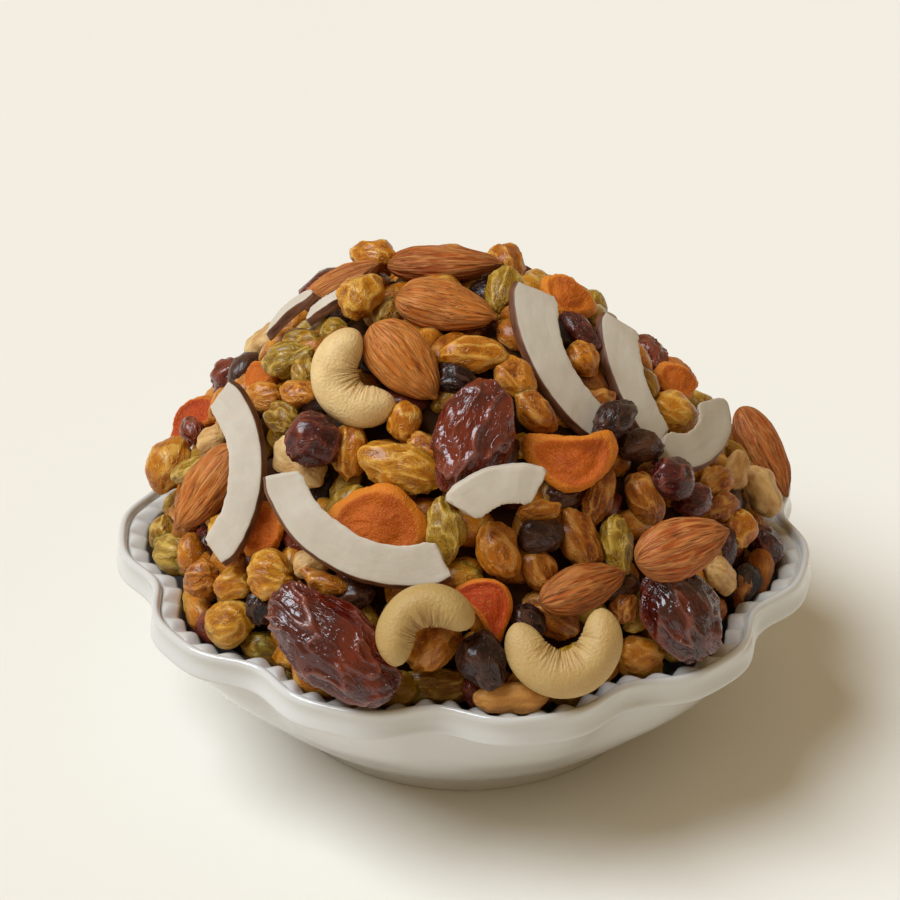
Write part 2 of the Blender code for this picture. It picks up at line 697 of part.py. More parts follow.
def small_pieces(core, trees):
    """Meshes of the small pieces that touch the heap, free of dish and large pieces."""
    taken = []
    meshes = []
    heap = [tree_of(core)]

    def try_place(place, length, width, rings):
        for sink in range(SINK_TRIES):
            matrix = place(FUSED_LIFT * width - SINK_STEP * sink)
            mesh = finish_piece(raisin_shape(length, width, rings, len(meshes)), matrix)
            inner = tree_of(mesh, -0.5)
            if is_free(mesh, trees) and any(inner.overlap(tree) for tree in heap):
                meshes.append(mesh)
                heap.append(inner)
                taken.append(matrix.translation / MM)
                return
            bpy.data.meshes.remove(mesh)

    for spot in SMALLS:
        try_place(lambda lift, s=spot: front_pose(s, lift), spot.length, spot.width, 4)
    for spot, length, width in fill_spots():
        point = on_bearing(spot.bearing, spot.height, 1.5)
        if all((point - other).length > FILL_SPACING for other in taken):
            try_place(lambda lift, s=spot: back_pose(s, lift), length, width, 3)
    return meshes


def build_heap(collection, core, trees):
    finish = material("raisins", (0.42, 0.21, 0.07), 0.45)
    heap = add_object("heap", core, collection, finish)
    joiners = new_collection("joiners")
    for number, mesh in enumerate(small_pieces(core, trees)):
        lump = bpy.data.objects.new(f"lump_{number}", mesh)
        lump.hide_render = True
        lump.display_type = "WIRE"
        joiners.objects.link(lump)
    join = heap.modifiers.new("Join", "BOOLEAN")
    join.operation = "UNION"
    join.operand_type = "COLLECTION"
    join.collection = joiners
    graph = bpy.context.evaluated_depsgraph_get()
    fused = bpy.data.meshes.new_from_object(heap.evaluated_get(graph))
    heap.modifiers.clear()
    heap.data = fused
    fused.name = "heap"
    for lump in list(joiners.objects):
        bpy.data.objects.remove(lump)
    bpy.data.collections.remove(joiners)
    return heap


def main():
    clear_scene()
    collection = new_collection("bowl_of_trail_mix")
    bowl = build_bowl(collection)
    core = build_core()
    trees = settle_all(collection, bowl, core)
    trees.pop(1)
    build_heap(collection, core, trees)


main()
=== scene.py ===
# A bowl of trail mix: raisins, dates, almonds, cashews, peanuts, dried apricots, cherries
# and curved slices of coconut, heaped in a white porcelain bowl with a wavy rolled lip.
# Sizes are in millimetres. The front of the heap faces -Y.

import math
import random
from collections import namedtuple

import bmesh
import bpy
from mathutils import Matrix, Vector, noise
from mathutils.bvhtree import BVHTree


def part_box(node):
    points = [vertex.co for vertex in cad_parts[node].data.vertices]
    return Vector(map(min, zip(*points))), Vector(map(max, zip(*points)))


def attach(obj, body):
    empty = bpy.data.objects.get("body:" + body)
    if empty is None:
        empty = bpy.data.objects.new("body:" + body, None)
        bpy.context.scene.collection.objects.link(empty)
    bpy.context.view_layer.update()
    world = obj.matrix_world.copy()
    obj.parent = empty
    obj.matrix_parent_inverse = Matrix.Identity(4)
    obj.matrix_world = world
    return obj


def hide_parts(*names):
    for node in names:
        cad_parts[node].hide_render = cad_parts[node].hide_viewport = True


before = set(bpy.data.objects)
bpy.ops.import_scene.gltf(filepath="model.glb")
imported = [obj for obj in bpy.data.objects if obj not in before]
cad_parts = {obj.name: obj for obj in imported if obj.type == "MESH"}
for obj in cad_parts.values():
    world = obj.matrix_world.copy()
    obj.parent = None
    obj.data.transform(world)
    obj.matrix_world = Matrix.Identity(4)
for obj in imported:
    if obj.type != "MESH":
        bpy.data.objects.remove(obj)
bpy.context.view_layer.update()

# The noise in several directions starts from the clock unless it gets a seed
NOISE_SEED = 11
noise.seed_set(NOISE_SEED)

MM = 0.001

# Bowl
LOBES = 11
BEADS = 77
BEAD_COLUMNS = 8
FIRST_NOTCH = math.radians(167.3)
LOBE_DEPTH = 5.4
GROOVE_RADIUS = 78.2
BEAD_BAND_WIDTH = 4.4
BEAD_BAND_ROWS = 8
BEAD_FOOT = 44.4
BEAD_TOP = 47.0
BEAD_RELIEF = 1.7
SIDE_STEPS = 4
WAVE_START = 16.0
WAVE_FULL = 42.0
FOOT_RADIUS = 47.0
FOOT_WIDTH = 4.5

# Bare core under the heap
CORE_TOP = 118.0
CORE_FLAT = 109.5
CORE_FOOT = 46.0
CORE_RADIUS = 77.5
CORE_POWER = 1.65
CORE_WAIST = 67.0
CORE_LEAN = Vector((-4.8, -1.1, 0.0))
CORE_MIDDLE = Vector((-3.0, -0.6, 60.0))
CORE_BOTTOM = 38.0
CORE_SHRINK = 1.2
CORE_BUMP = 0.8
CORE_BUMPINESS = 14.0

# Line of sight along which the front was laid out. Spots are pixels (right, down) of a
# 900 x 900 picture seen from there.
SIGHT_FROM = Vector((0.0, -678.4, 469.9))
SIGHT_TO = Vector((-3.6, 0.0, 69.3))
SIGHT_PIXELS = 3196.0
PICTURE = 900
SIGHT_NEAR = 680.0
SIGHT_FAR = 920.0

# Studio: a broad window light far off, the air's own light, the floor and the camera
WINDOW_WAY = Vector((-0.54, -0.1, 0.83))
WINDOW_STRENGTH = 3.33
WINDOW_SOFTNESS = 40.0
WINDOW_COLOUR = (0.83, 0.915, 1.0)
AIR_STRENGTH = 0.38
AIR_COLOUR = (1.0, 0.77, 0.45, 1.0)
FLOOR_REACH = 3.0
SENSOR_WIDTH = 36.0

# turn: degrees anticlockwise from the picture's right, of the long way or of a bend's
# bulge; face: 0 lies on the heap, 1 is turned to the viewer, None is one at the back;
# skin: 1 where the outer edge is brown; bean: how far a half is bent in its own plane, as a
# share of its width; tone: 0 for the palest of its kind, 1 for the darkest
Laid = namedtuple("Laid", "turn face tone")
Half = namedtuple("Half", "turn face bean tone")
Arc = namedtuple("Arc", "turn face radius sweep width taper skin tone")
Bend = namedtuple("Bend", "turn face radius sweep thickness tone")
# spot is a pixel; size is length and width
Small = namedtuple("Small", "spot turn length width")

ALMONDS = [
    Laid(0, 0.0, 1.0), Laid(-12, 0.5, 0.3), Laid(-49, 0.6, 0.1), Laid(-127, 0.4, 0.4),
    Laid(-62, 0.5, 1.0), Laid(19, 0.6, 1.0), Laid(20, 0.0, 0.8), Laid(30, 0.0, 0.8),
    Laid(25, None, 0.2), Laid(-40, None, 0.6), Laid(10, None, 0.4),
]
DATES = [
    Laid(-40, 0.3, 0.5), Laid(-109, 0.4, 0.0), Laid(-62, 0.4, 1.0), Laid(10, None, 0.3),
    Laid(65, None, 0.7),
]
APRICOTS = [
    Half(-20, 0.6, 0.0, 0.3), Half(4, 0.6, 0.45, 0.4), Half(-45, 0.6, -0.75, 1.0),
    Half(-35, 0.5, 0.2, 0.0), Half(-28, 0.5, 0.2, 0.2), Half(70, 0.6, 0.1, 0.3),
    Half(42, 0.5, 0.0, 0.9), Half(10, 0.3, 0.2, 0.2), Half(10, None, 0.1, 0.5),
    Half(-20, None, 0.1, 0.1),
]
NUTS = [
    Laid(0, 0.3, 1.0), Laid(-46, 0.3, 0.4), Laid(-65, 0.3, 0.3), Laid(-102, 0.3, 0.6),
    Laid(35, 0.2, 0.0), Laid(-45, 0.4, 0.0), Laid(20, 0.3, 0.4), Laid(30, 0.3, 0.3),
]
CASHEWS = [
    Bend(208, 0.8, 8.2, 208, 12.0, 0.0), Bend(280, 0.95, 9.4, 226, 12.0, 0.8),
    Bend(118, 0.7, 8.8, 190, 10.4, 1.0), Bend(140, None, 8.4, 200, 8.8, 0.3),
]
COCONUTS = [
    Arc(0, 0.6, 24.6, 98, 9.0, 0.0, 1, 0.1), Arc(-118, 0.5, 28.2, 98, 10.2, 0.0, 1, 0.3),
    Arc(200, 0.35, 28.8, 78, 10.6, 0.35, 1, 0.4), Arc(188, 0.35, 25.5, 74, 10.2, 0.3, 1, 0.3),
    Arc(-52, 0.35, 11.4, 136, 9.4, 0.0, 1, 1.0), Arc(106, 0.6, 14.0, 80, 9.6, 0.0, 0, 0.3),
    Arc(-84, 0.05, 20.0, 42, 6.2, 0.0, 1, 0.0), Arc(-84, 0.1, 14.0, 44, 5.0, 0.0, 1, 0.0),
    Arc(35, None, 26.0, 90, 9.5, 0.1, 1, 0.3), Arc(-12, None, 26.0, 90, 9.5, 0.1, 1, 0.5),
]

# Faces round and along the mesh of one piece
ALMOND_MESH = (88, 44)
DATE_MESH = (112, 84)
APRICOT_MESH = (80, 36)
NUT_MESH = (40, 30)
CASHEW_MESH = (44, 112)
COCONUT_MESH = (48, 64)
CORE_MESH = (96, 64)
FINE_MESH = (42, 28)
PLAIN_MESH = (16, 11)
HIDDEN_MESH = (10, 7)

# Relief, in millimetres or as a share of the piece's own size: folds and ribs that stand
# out, and flesh that swells and sags
RAISIN_FOLD = 0.052
RAISIN_CREASE = 0.018
RAISIN_SAG = 0.22
ALMOND_RIB = 0.32
ALMOND_FINE_RIB = 0.12
ALMOND_SAG = 0.5
ALMOND_POINT = 0.7
DATE_FOLD = 1.1
DATE_CREASE = 0.3
DATE_SAG = 1.4
CASHEW_CREASES = 21.0
CASHEW_PUCKER = 0.075
CASHEW_LUMP = 0.12
CASHEW_FLATNESS = 0.9
BEAN_MIDDLE = 0.35
APRICOT_DENT = 0.42
APRICOT_CURL = 0.14
APRICOT_FOLD = 0.24
APRICOT_GRAIN = 0.2
NUT_LUMP = 0.7
NUT_FOLD = 0.08
NUT_SPLIT = 0.12
COCONUT_THICKNESS = 2.6
COCONUT_SLANT = 0.5
COCONUT_SQUARENESS = 0.28
COCONUT_BOW = 0.06

# Small pieces that show at the front, by kind
SMALL_FACE = 0.35
SMALL_LIFT = 0.4
SMALLS = {
    "golden": [
        Small((373, 254), -12, 12.0, 8.5), Small((362, 295), 66, 12.0, 10.0),
        Small((512, 251), -60, 11.5, 8.5), Small((472, 354), -3, 15.4, 8.2),
        Small((404, 421), -108, 9.0, 7.6), Small((401, 468), -19, 19.0, 11.0),
        Small((350, 453), -98, 13.0, 8.0), Small((674, 414), -35, 11.5, 10.5),
        Small((722, 387), 5, 10.5, 7.0), Small((740, 529), 80, 9.0, 8.5),
        Small((170, 465), 70, 13.0, 12.0), Small((230, 622), 0, 12.0, 11.0),
        Small((234, 584), 10, 9.0, 8.0), Small((271, 576), -20, 12.0, 10.5),
    ],
    "green": [
        Small((504, 291), -110, 13.0, 9.0), Small((597, 300), -78, 14.0, 8.5),
        Small((302, 341), 0, 11.0, 6.0), Small((286, 360), 18, 14.0, 8.0),
        Small((305, 375), -72, 8.0, 6.5), Small((283, 420), -50, 10.0, 7.5),
        Small((192, 472), 27, 12.0, 6.5), Small((445, 532), -84, 14.0, 8.0),
        Small((440, 685), -2, 18.0, 8.2), Small((617, 546), -80, 14.2, 7.6),
        Small((161, 534), 85, 9.5, 7.5), Small((176, 556), -20, 13.0, 9.0),
        Small((266, 648), -20, 11.0, 8.0), Small((410, 692), 0, 12.0, 7.0),
        Small((300, 674), -25, 11.0, 7.0), Small((335, 330), 0, 7.0, 6.0),
        Small((387, 312), 60, 9.0, 6.5), Small((610, 320), -80, 9.0, 6.0),
        Small((690, 374), -40, 7.5, 6.0),
    ],
    "amber": [
        Small((264, 396), 0, 10.0, 7.0), Small((299, 394), 0, 10.0, 7.0),
        Small((584, 359), -60, 8.6, 8.4), Small((515, 380), -50, 11.0, 8.0),
        Small((499, 551), -73, 14.0, 9.6), Small((540, 512), 5, 10.0, 5.6),
        Small((580, 541), -67, 16.0, 9.0), Small((598, 495), -104, 14.0, 7.2),
        Small((645, 498), -66, 13.5, 8.8), Small((538, 570), -57, 10.0, 8.5),
        Small((550, 615), -34, 14.0, 9.3), Small((640, 655), -5, 10.5, 9.0),
        Small((625, 608), 60, 7.5, 6.5), Small((430, 643), -133, 13.5, 11.5),
        Small((202, 579), 0, 9.0, 8.6), Small((425, 448), -35, 10.0, 6.0),
        Small((722, 506), 20, 10.0, 7.0), Small((718, 482), 40, 9.0, 7.0),
        Small((598, 402), 20, 9.0, 6.5), Small((325, 582), -20, 12.0, 5.0),
        Small((348, 275), 20, 9.0, 6.0), Small((536, 412), -50, 12.0, 8.0),
    ],
    "dark": [
        Small((458, 380), -10, 9.0, 6.5), Small((434, 410), -60, 9.0, 8.0),
        Small((484, 660), -70, 12.5, 9.5), Small((262, 607), 85, 9.0, 6.5),
        Small((541, 536), 0, 10.0, 8.0), Small((565, 497), 10, 8.0, 7.0),
        Small((528, 622), -45, 9.0, 7.0), Small((355, 593), 0, 8.0, 7.0),
        Small((503, 455), 60, 9.0, 7.0), Small((620, 588), 20, 9.0, 6.0),
        Small((615, 420), 40, 11.0, 8.0), Small((640, 446), 0, 11.0, 8.0),
    ],
    "cherry": [
        Small((314, 440), 20, 12.5, 12.0), Small((660, 344), -60, 11.0, 8.5),
        Small((222, 371), 0, 10.8, 9.8), Small((672, 478), 10, 11.0, 10.0),
        Small((692, 500), 0, 9.0, 8.5), Small((766, 548), -70, 12.0, 9.0),
        Small((192, 430), -70, 8.0, 6.0),
    ],
}

# Loose pieces spread by a seeded draw: how many spots, how far the middle stands off the
# core as a share of the width, and how widely they are spaced. Lengths are in millimetres
# and widths are shares of the length.
FILL_SEED = 23
UNDER_PIECES = 620
UNDER_LIFT = -0.1
UNDER_SPACING = 6.2
UPPER_PIECES = 480
UPPER_LIFT = 0.42
UPPER_SPACING = 9.4
LOWEST_WAY = -0.22
FILL_LENGTHS = (9.0, 14.5)
FILL_WIDTHS = (0.55, 0.8)
TRENCH_PIECES = 46
TRENCH_RADIUS = 70.4
TRENCH_HEIGHT = 47.0
TRENCH_RISES = (-1.5, 2.0)
TRENCH_TURNS = (-50.0, 50.0)
TRENCH_LENGTHS = (10.0, 14.0)
TRENCH_WIDTHS = (0.6, 0.75)
THICKNESSES = (0.74, 0.9)
KIND_SHARES = [("golden", 0.34), ("green", 0.18), ("amber", 0.31), ("dark", 0.1), ("cherry", 0.07)]

# How deep the folds of a piece are, drawn between two limits and then by its kind
WRINKLE_DEPTHS = (0.4, 1.15)
WRINKLES = {"golden": 1.0, "green": 1.0, "amber": 1.0, "dark": 1.7, "cherry": 1.4}

# Radius of the rough ball that stands for a piece in the test for room, as a share of its
# size, and how far a piece may be moved off its first place, in the order tried
ROUGH_RADIUS = 0.47
SINKS = [-0.8 * step for step in range(7)]
SHIFTS = [0.0, 0.7, -0.7, 1.4, -1.4, 2.1, 2.8, -2.1, 3.5, 4.2, -2.8, 4.9, 5.6, -3.5, -4.2]


# Helpers

def smooth_step(low, high, value):
    share = min(max((value - low) / (high - low), 0.0), 1.0)
    return share * share * (3.0 - 2.0 * share)


def mixed(first, second, share):
    return first + (second - first) * share


def scallop(bearing):
    """0 in a notch of the rim, 1 at the crown of a lobe."""
    phase = LOBES * (bearing - FIRST_NOTCH) - math.pi
    return (0.8 * math.cos(phase) - 0.2 * math.cos(2 * phase) + 1.0) / 1.6


def shifted(seed):
    """A far-off place in the noise, so that no two pieces share a pattern."""
    return Vector((7.31, 1.93, 4.17)) * (seed + 1)


# Surface of the heap

def heap_distance(point):
    """Rough distance of a point outside the bare core, negative inside."""
    rise = (point.z - CORE_FOOT) / (CORE_TOP - CORE_FOOT)
    out = point - CORE_LEAN * rise
    out.z = 0.0
    radius = max(out.length, 0.001)
    value = rise + (radius / CORE_RADIUS) ** CORE_POWER - 1.0
    slope = CORE_POWER / CORE_RADIUS * (radius / CORE_RADIUS) ** (CORE_POWER - 1.0)
    dome = value / math.hypot(slope, 1.0 / (CORE_TOP - CORE_FOOT))
    waist = CORE_WAIST + 0.9 * LOBE_DEPTH * scallop(math.atan2(point.y, point.x))
    return max(dome, point.z - CORE_FLAT, math.hypot(point.x, point.y) - waist)


def heap_normal(point):
    step = 1.0
    axes = [Vector((step, 0.0, 0.0)), Vector((0.0, step, 0.0)), Vector((0.0, 0.0, step))]
    return Vector([heap_distance(point + a) - heap_distance(point - a) for a in axes]).normalized()


def core_spot(way, depth=0.0):
    """Where a ray from the middle leaves the bare core, or this far inside it."""
    low = 0.0
    high = 120.0
    for _ in range(22):
        reach = 0.5 * (low + high)
        point = CORE_MIDDLE + way * reach
        if max(heap_distance(point), CORE_BOTTOM - point.z) < -depth:
            low = reach
        else:
            high = reach
    return CORE_MIDDLE + way * low


# Placing

def sight_axes():
    ahead = (SIGHT_TO - SIGHT_FROM).normalized()
    right = ahead.cross(Vector((0.0, 0.0, 1.0))).normalized()
    return ahead, right, right.cross(ahead)


def sight_line(spot):
    ahead, right, up = sight_axes()
    line = ahead * SIGHT_PIXELS
    line += right * (spot[0] - PICTURE / 2) - up * (spot[1] - PICTURE / 2)
    return line.normalized()


def on_sight(spot, lift):
    """Point under a spot at this distance from the core, or the nearest one to it."""
    line = sight_line(spot)
    best = None
    nearest = SIGHT_FAR
    reach = SIGHT_NEAR
    while reach < SIGHT_FAR:
        point = SIGHT_FROM + line * reach
        away = heap_distance(point) - lift
        if away < nearest:
            nearest = away
            best = point
        if away < 0.05:
            return best
        reach += max(away * 0.5, 0.1)
    return best - heap_normal(best) * nearest


def axes_for(normal, way):
    """Columns along the piece, across it and out of the heap."""
    along = (way - normal * way.dot(normal)).normalized()
    return Matrix((along, normal.cross(along), normal)).transposed()


def seen_axes(middle, turn, face):
    right, up = sight_axes()[1:]
    line = (middle - SIGHT_FROM).normalized()
    normal = heap_normal(middle).lerp(-line, face).normalized()
    angle = math.radians(turn)
    way = right * math.cos(angle) + up * math.sin(angle)
    return axes_for(normal, way - line * (way.dot(normal) / line.dot(normal)))


def unseen_axes(middle, turn):
    normal = heap_normal(middle)
    level = Vector((0.0, 0.0, 1.0)).cross(normal)
    if level.length < 0.001:
        level = Vector((1.0, 0.0, 0.0))
    level.normalize()
    angle = math.radians(turn)
    return axes_for(normal, level * math.cos(angle) + normal.cross(level) * math.sin(angle))


def placed(axes, middle):
    return Matrix.Translation(middle) @ axes.to_4x4()


def node_place(node, laid):
    """Turn of a piece, and the box that its solid fills in its own directions."""
    low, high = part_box(node)
    middle = (low + high) / 2 / MM
    if laid.face is None:
        axes = unseen_axes(middle, laid.turn)
    else:
        axes = seen_axes(middle, laid.turn, laid.face)
    back = axes.transposed()
    corners = [back @ (vertex.co / MM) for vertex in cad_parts[node].data.vertices]
    low = Vector([min(corner[k] for corner in corners) for k in range(3)])
    high = Vector([max(corner[k] for corner in corners) for k in range(3)])
    return axes, low, high


# Kinds: one mesh for each, with marks that its finish reads

class Kind:
    """Gathers every piece of a kind in one mesh.

    grain is a place on the piece in its own directions, tone a number of the piece, and
    fold runs from 0 in a furrow to 1 on a ridge."""

    def __init__(self, name):
        self.name = name
        self.gathered = bmesh.new()
        self.gathered.verts.layers.float_vector.new("grain")
        self.gathered.verts.layers.float.new("fold")
        self.gathered.verts.layers.float.new("tone")

    def add(self, piece, matrix, tone):
        """Takes a shaped piece in millimetres, puts it in its place and keeps it."""
        toned = piece.verts.layers.float.new("tone")
        for vertex in piece.verts:
            vertex[toned] = tone
        bmesh.ops.transform(piece, verts=piece.verts, matrix=Matrix.Scale(MM, 4) @ matrix)
        bmesh.ops.recalc_face_normals(piece, faces=piece.faces)
        mesh = bpy.data.meshes.new("piece")
        piece.to_mesh(mesh)
        piece.free()
        self.gathered.from_mesh(mesh)
        bpy.data.meshes.remove(mesh)

    def finish(self, finish, slot, *nodes):
        mesh = bpy.data.meshes.new(self.name)
        self.gathered.to_mesh(mesh)
        self.gathered.free()
        return show(self.name, mesh, finish, slot, *nodes)


def show(name, mesh, finish, slot, *nodes):
    mesh.materials.append(finish)
    mesh.shade_smooth()
    made = bpy.data.objects.new(name, mesh)
    bpy.context.scene.collection.objects.link(made)
    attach(made, "root")
    if nodes:
        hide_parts(*nodes)
    return made


def ball(around, along, turn="Y"):
    """Unit ball, its poles on X unless turned another way, and its two marks."""
    piece = bmesh.new()
    fold = piece.verts.layers.float.new("fold")
    grain = piece.verts.layers.float_vector.new("grain")
    bmesh.ops.create_uvsphere(piece, u_segments=around, v_segments=along, radius=1.0)
    bmesh.ops.rotate(piece, verts=piece.verts, matrix=Matrix.Rotation(math.pi / 2, 3, turn))
    return piece, fold, grain


def reach_of(piece):
    low = Vector([min(vertex.co[k] for vertex in piece.verts) for k in range(3)])
    high = Vector([max(vertex.co[k] for vertex in piece.verts) for k in range(3)])
    return low, high


def fitted(piece, low, high):
    """Stretches a piece a little so that it fills its solid's box."""
    least, most = reach_of(piece)
    for vertex in piece.verts:
        for k in range(3):
            share = (vertex.co[k] - least[k]) / (most[k] - least[k])
            vertex.co[k] = mixed(low[k], high[k], share)
    return piece


def ridged(spot, width):
    """1 along winding lines, 0 between them, with a round top."""
    near = max(0.0, 1.0 - abs(noise.noise(spot)) / width)
    return near * near * (3.0 - 2.0 * near)


# Shapes, in millimetres, long way along X and the outer side towards +Z

def raisin(size, around, along, seed, depth):
    """A shrunken berry with thin winding ridges of skin, most of them lengthwise."""
    length, width, thickness = size
    piece, fold, grain = ball(around, along)
    place = shifted(seed)
    draw = random.Random(seed)
    bend = draw.uniform(-0.1, 0.1)
    point_end = draw.uniform(0.0, 0.2)
    for vertex in piece.verts:
        unit = vertex.co.copy()
        spot = Vector((unit.x * length, unit.y * width, unit.z * thickness)) * 0.5
        vertex[grain] = spot
        warp = noise.noise_vector(spot * 1.2 / width - place)
        sag = noise.noise(spot * 1.9 / width + place)
        lines = Vector((spot.x * 0.4, spot.y, spot.z)) * 3.6 / width + warp * 0.55 + place * 2
        ridge = ridged(lines, 0.36)
        minor = ridged(lines * 2.3, 0.4)
        vertex[fold] = max(ridge, 0.6 * minor)
        narrow = 1.0 - point_end * smooth_step(0.1, 1.0, unit.x)
        co = Vector((spot.x, spot.y * narrow, spot.z * narrow)) * (1.0 + RAISIN_SAG * sag)
        co += unit * width * depth * (RAISIN_FOLD * ridge + RAISIN_CREASE * minor)
        co.y += bend * (unit.x * unit.x - 0.4) * length * 0.5
        vertex.co = co
    return piece


def almond(size, seed):
    """A teardrop with a sharp end at +X and fine ridges running from end to end."""
    length, width, thickness = size
    piece, fold, grain = ball(*ALMOND_MESH)
    place = shifted(seed)
    for vertex in piece.verts:
        unit = vertex.co.copy()
        share = unit.x * 0.5 + 0.5
        narrow = 1.1 - 0.42 * share * share
        spot = Vector((unit.x * length, unit.y * width * narrow, unit.z * thickness * narrow)) * 0.5
        ring = max(math.hypot(unit.y, unit.z), 0.001)
        round_it = Vector((0.0, unit.y / ring, unit.z / ring)) * 4.6
        warp = 0.35 * noise.noise(Vector((unit.x * 1.6, 0.0, 0.0)) + round_it * 0.5 + place)
        vertex[grain] = Vector((unit.x * 1.3, 0.0, 0.0)) + round_it * (1.0 + 0.25 * warp)
        lines = vertex[grain] + place
        ridge = ridged(lines, 0.42)
        minor = ridged(lines * 1.9, 0.4)
        quiet = 1.0 - smooth_step(0.75, 1.0, abs(unit.x))
        vertex[fold] = mixed(0.8, max(ridge, 0.7 * minor), quiet)
        sag = ALMOND_SAG * noise.noise(spot * 0.16 + place)
        rib = ALMOND_RIB * ridge + ALMOND_FINE_RIB * minor
        vertex.co = spot + unit * (quiet * rib + sag)
        vertex.co.x += ALMOND_POINT * smooth_step(0.965, 1.0, unit.x)
    return piece


def date(size, seed):
    """A plump date with thin winding ridges of loose skin."""
    length, width, thickness = size
    piece, fold, grain = ball(*DATE_MESH)
    place = shifted(seed)
    for vertex in piece.verts:
        unit = vertex.co.copy()
        full = 1.0 + 0.12 * (1.0 - unit.x * unit.x)
        spot = Vector((unit.x * length, unit.y * width * full, unit.z * thickness * full)) * 0.5
        vertex[grain] = spot
        warp = noise.noise_vector(spot * 0.13 + place)
        lines = Vector((spot.x * 0.08, spot.y * 0.2, spot.z * 0.2)) + warp * 0.55 + place
        wide = ridged(lines, 0.2)
        thin = ridged(lines * 2.6 + warp * 0.3, 0.24)
        sag = noise.noise(spot * 0.14 - place)
        quiet = 1.0 - 0.7 * smooth_step(0.86, 1.0, abs(unit.x))
        vertex[fold] = max(wide, 0.5 * thin)
        vertex.co = spot + unit * quiet * (DATE_FOLD * wide + DATE_CREASE * thin + DATE_SAG * sag)
    return piece


def cashew(bend, seed):
    """Bent round the origin with its bulge along +X, fuller at the ends."""
    piece, fold, grain = ball(*CASHEW_MESH)
    place = shifted(seed)
    arc = math.radians(bend.sweep)
    thick = bend.thickness * 0.5
    for vertex in piece.verts:
        unit = vertex.co.copy()
        share = math.asin(max(min(unit.x, 1.0), -1.0)) / (math.pi / 2)
        around = math.atan2(unit.z, unit.y)
        end = 1.0 - abs(share) ** 3.6
        girth = thick * max(end, 0.0) ** 0.46
        girth *= 0.94 + 0.06 * smooth_step(0.2, 0.75, abs(share)) - 0.04 * share
        side = math.cos(around) * girth
        flat = math.sin(around) * girth * CASHEW_FLATNESS
        inner = smooth_step(-0.5, 0.9, -math.cos(around))
        spot = Vector((share * CASHEW_CREASES, side * 0.12, flat * 0.12))
        crease = ridged(spot + place, 0.34)
        pucker = inner * crease * (1.0 - abs(share) ** 2)
        lump = noise.noise(Vector((share * 1.8, side * 0.2, flat * 0.2)) - place)
        vertex[fold] = 1.0 - pucker
        swell = 1.0 + CASHEW_LUMP * lump - CASHEW_PUCKER * pucker - 0.05 * inner
        turn = share * 0.5 * arc
        radius = bend.radius + side * swell
        vertex.co = Vector((radius * math.cos(turn), radius * math.sin(turn), flat * swell))
        vertex[grain] = vertex.co
    return piece


def apricot(half, size, seed):
    """A dried half: a rolled rim round a sunken, wrinkled middle, curled like a leaf."""
    length, width, thickness = size
    piece, fold, grain = ball(*APRICOT_MESH, "Z")
    place = shifted(seed)
    for vertex in piece.verts:
        unit = vertex.co.copy()
        out = math.hypot(unit.x, unit.y)
        spot = Vector((unit.x * length, unit.y * width, unit.z * thickness)) * 0.5
        vertex[grain] = spot
        dent = mixed(APRICOT_DENT, 1.0, smooth_step(0.5, 0.84, out)) if unit.z > 0 else 1.0
        ripple = noise.noise(Vector((unit.x, unit.y, 0.0)) * 1.4 + place) * out * out
        ridge = ridged(spot * 0.36 + noise.noise_vector(spot * 0.2) * 0.4 + place, 0.35)
        fine = noise.noise(spot * 1.2 - place)
        vertex[fold] = max(0.4 * ridge, smooth_step(0.66, 0.84, out))
        vertex.co = spot * (1.0 + 0.16 * ripple)
        vertex.co.z = vertex.co.z * dent + APRICOT_CURL * thickness * math.cos(math.pi * unit.x)
        vertex.co.y += half.bean * (unit.x * unit.x - BEAN_MIDDLE) * width
        relief = APRICOT_FOLD * ridge + APRICOT_GRAIN * fine
        vertex.co += unit * relief * min(thickness / 7.0, 1.0)
    return piece


def nut(size, seed):
    """A peanut: two swellings, a shallow line between the halves."""
    length, width, thickness = size
    piece, fold, grain = ball(*NUT_MESH)
    place = shifted(seed)
    for vertex in piece.verts:
        unit = vertex.co.copy()
        waist = 1.0 - 0.1 * math.cos(2.0 * math.pi * unit.x)
        spot = Vector((unit.x * length, unit.y * width * waist, unit.z * thickness * waist)) * 0.5
        vertex[grain] = spot
        split = math.exp(-(unit.y / 0.07) ** 2) if unit.z > 0 else 0.0
        lump = noise.noise(spot * 0.35 + place)
        ridge = ridged(Vector((spot.x * 0.15, spot.y * 0.7, spot.z * 0.7)) - place, 0.4)
        vertex[fold] = (0.4 + 0.6 * ridge) * (1.0 - 0.5 * split)
        vertex.co = spot + unit * (NUT_LUMP * lump + NUT_FOLD * ridge - NUT_SPLIT * split)
    return piece


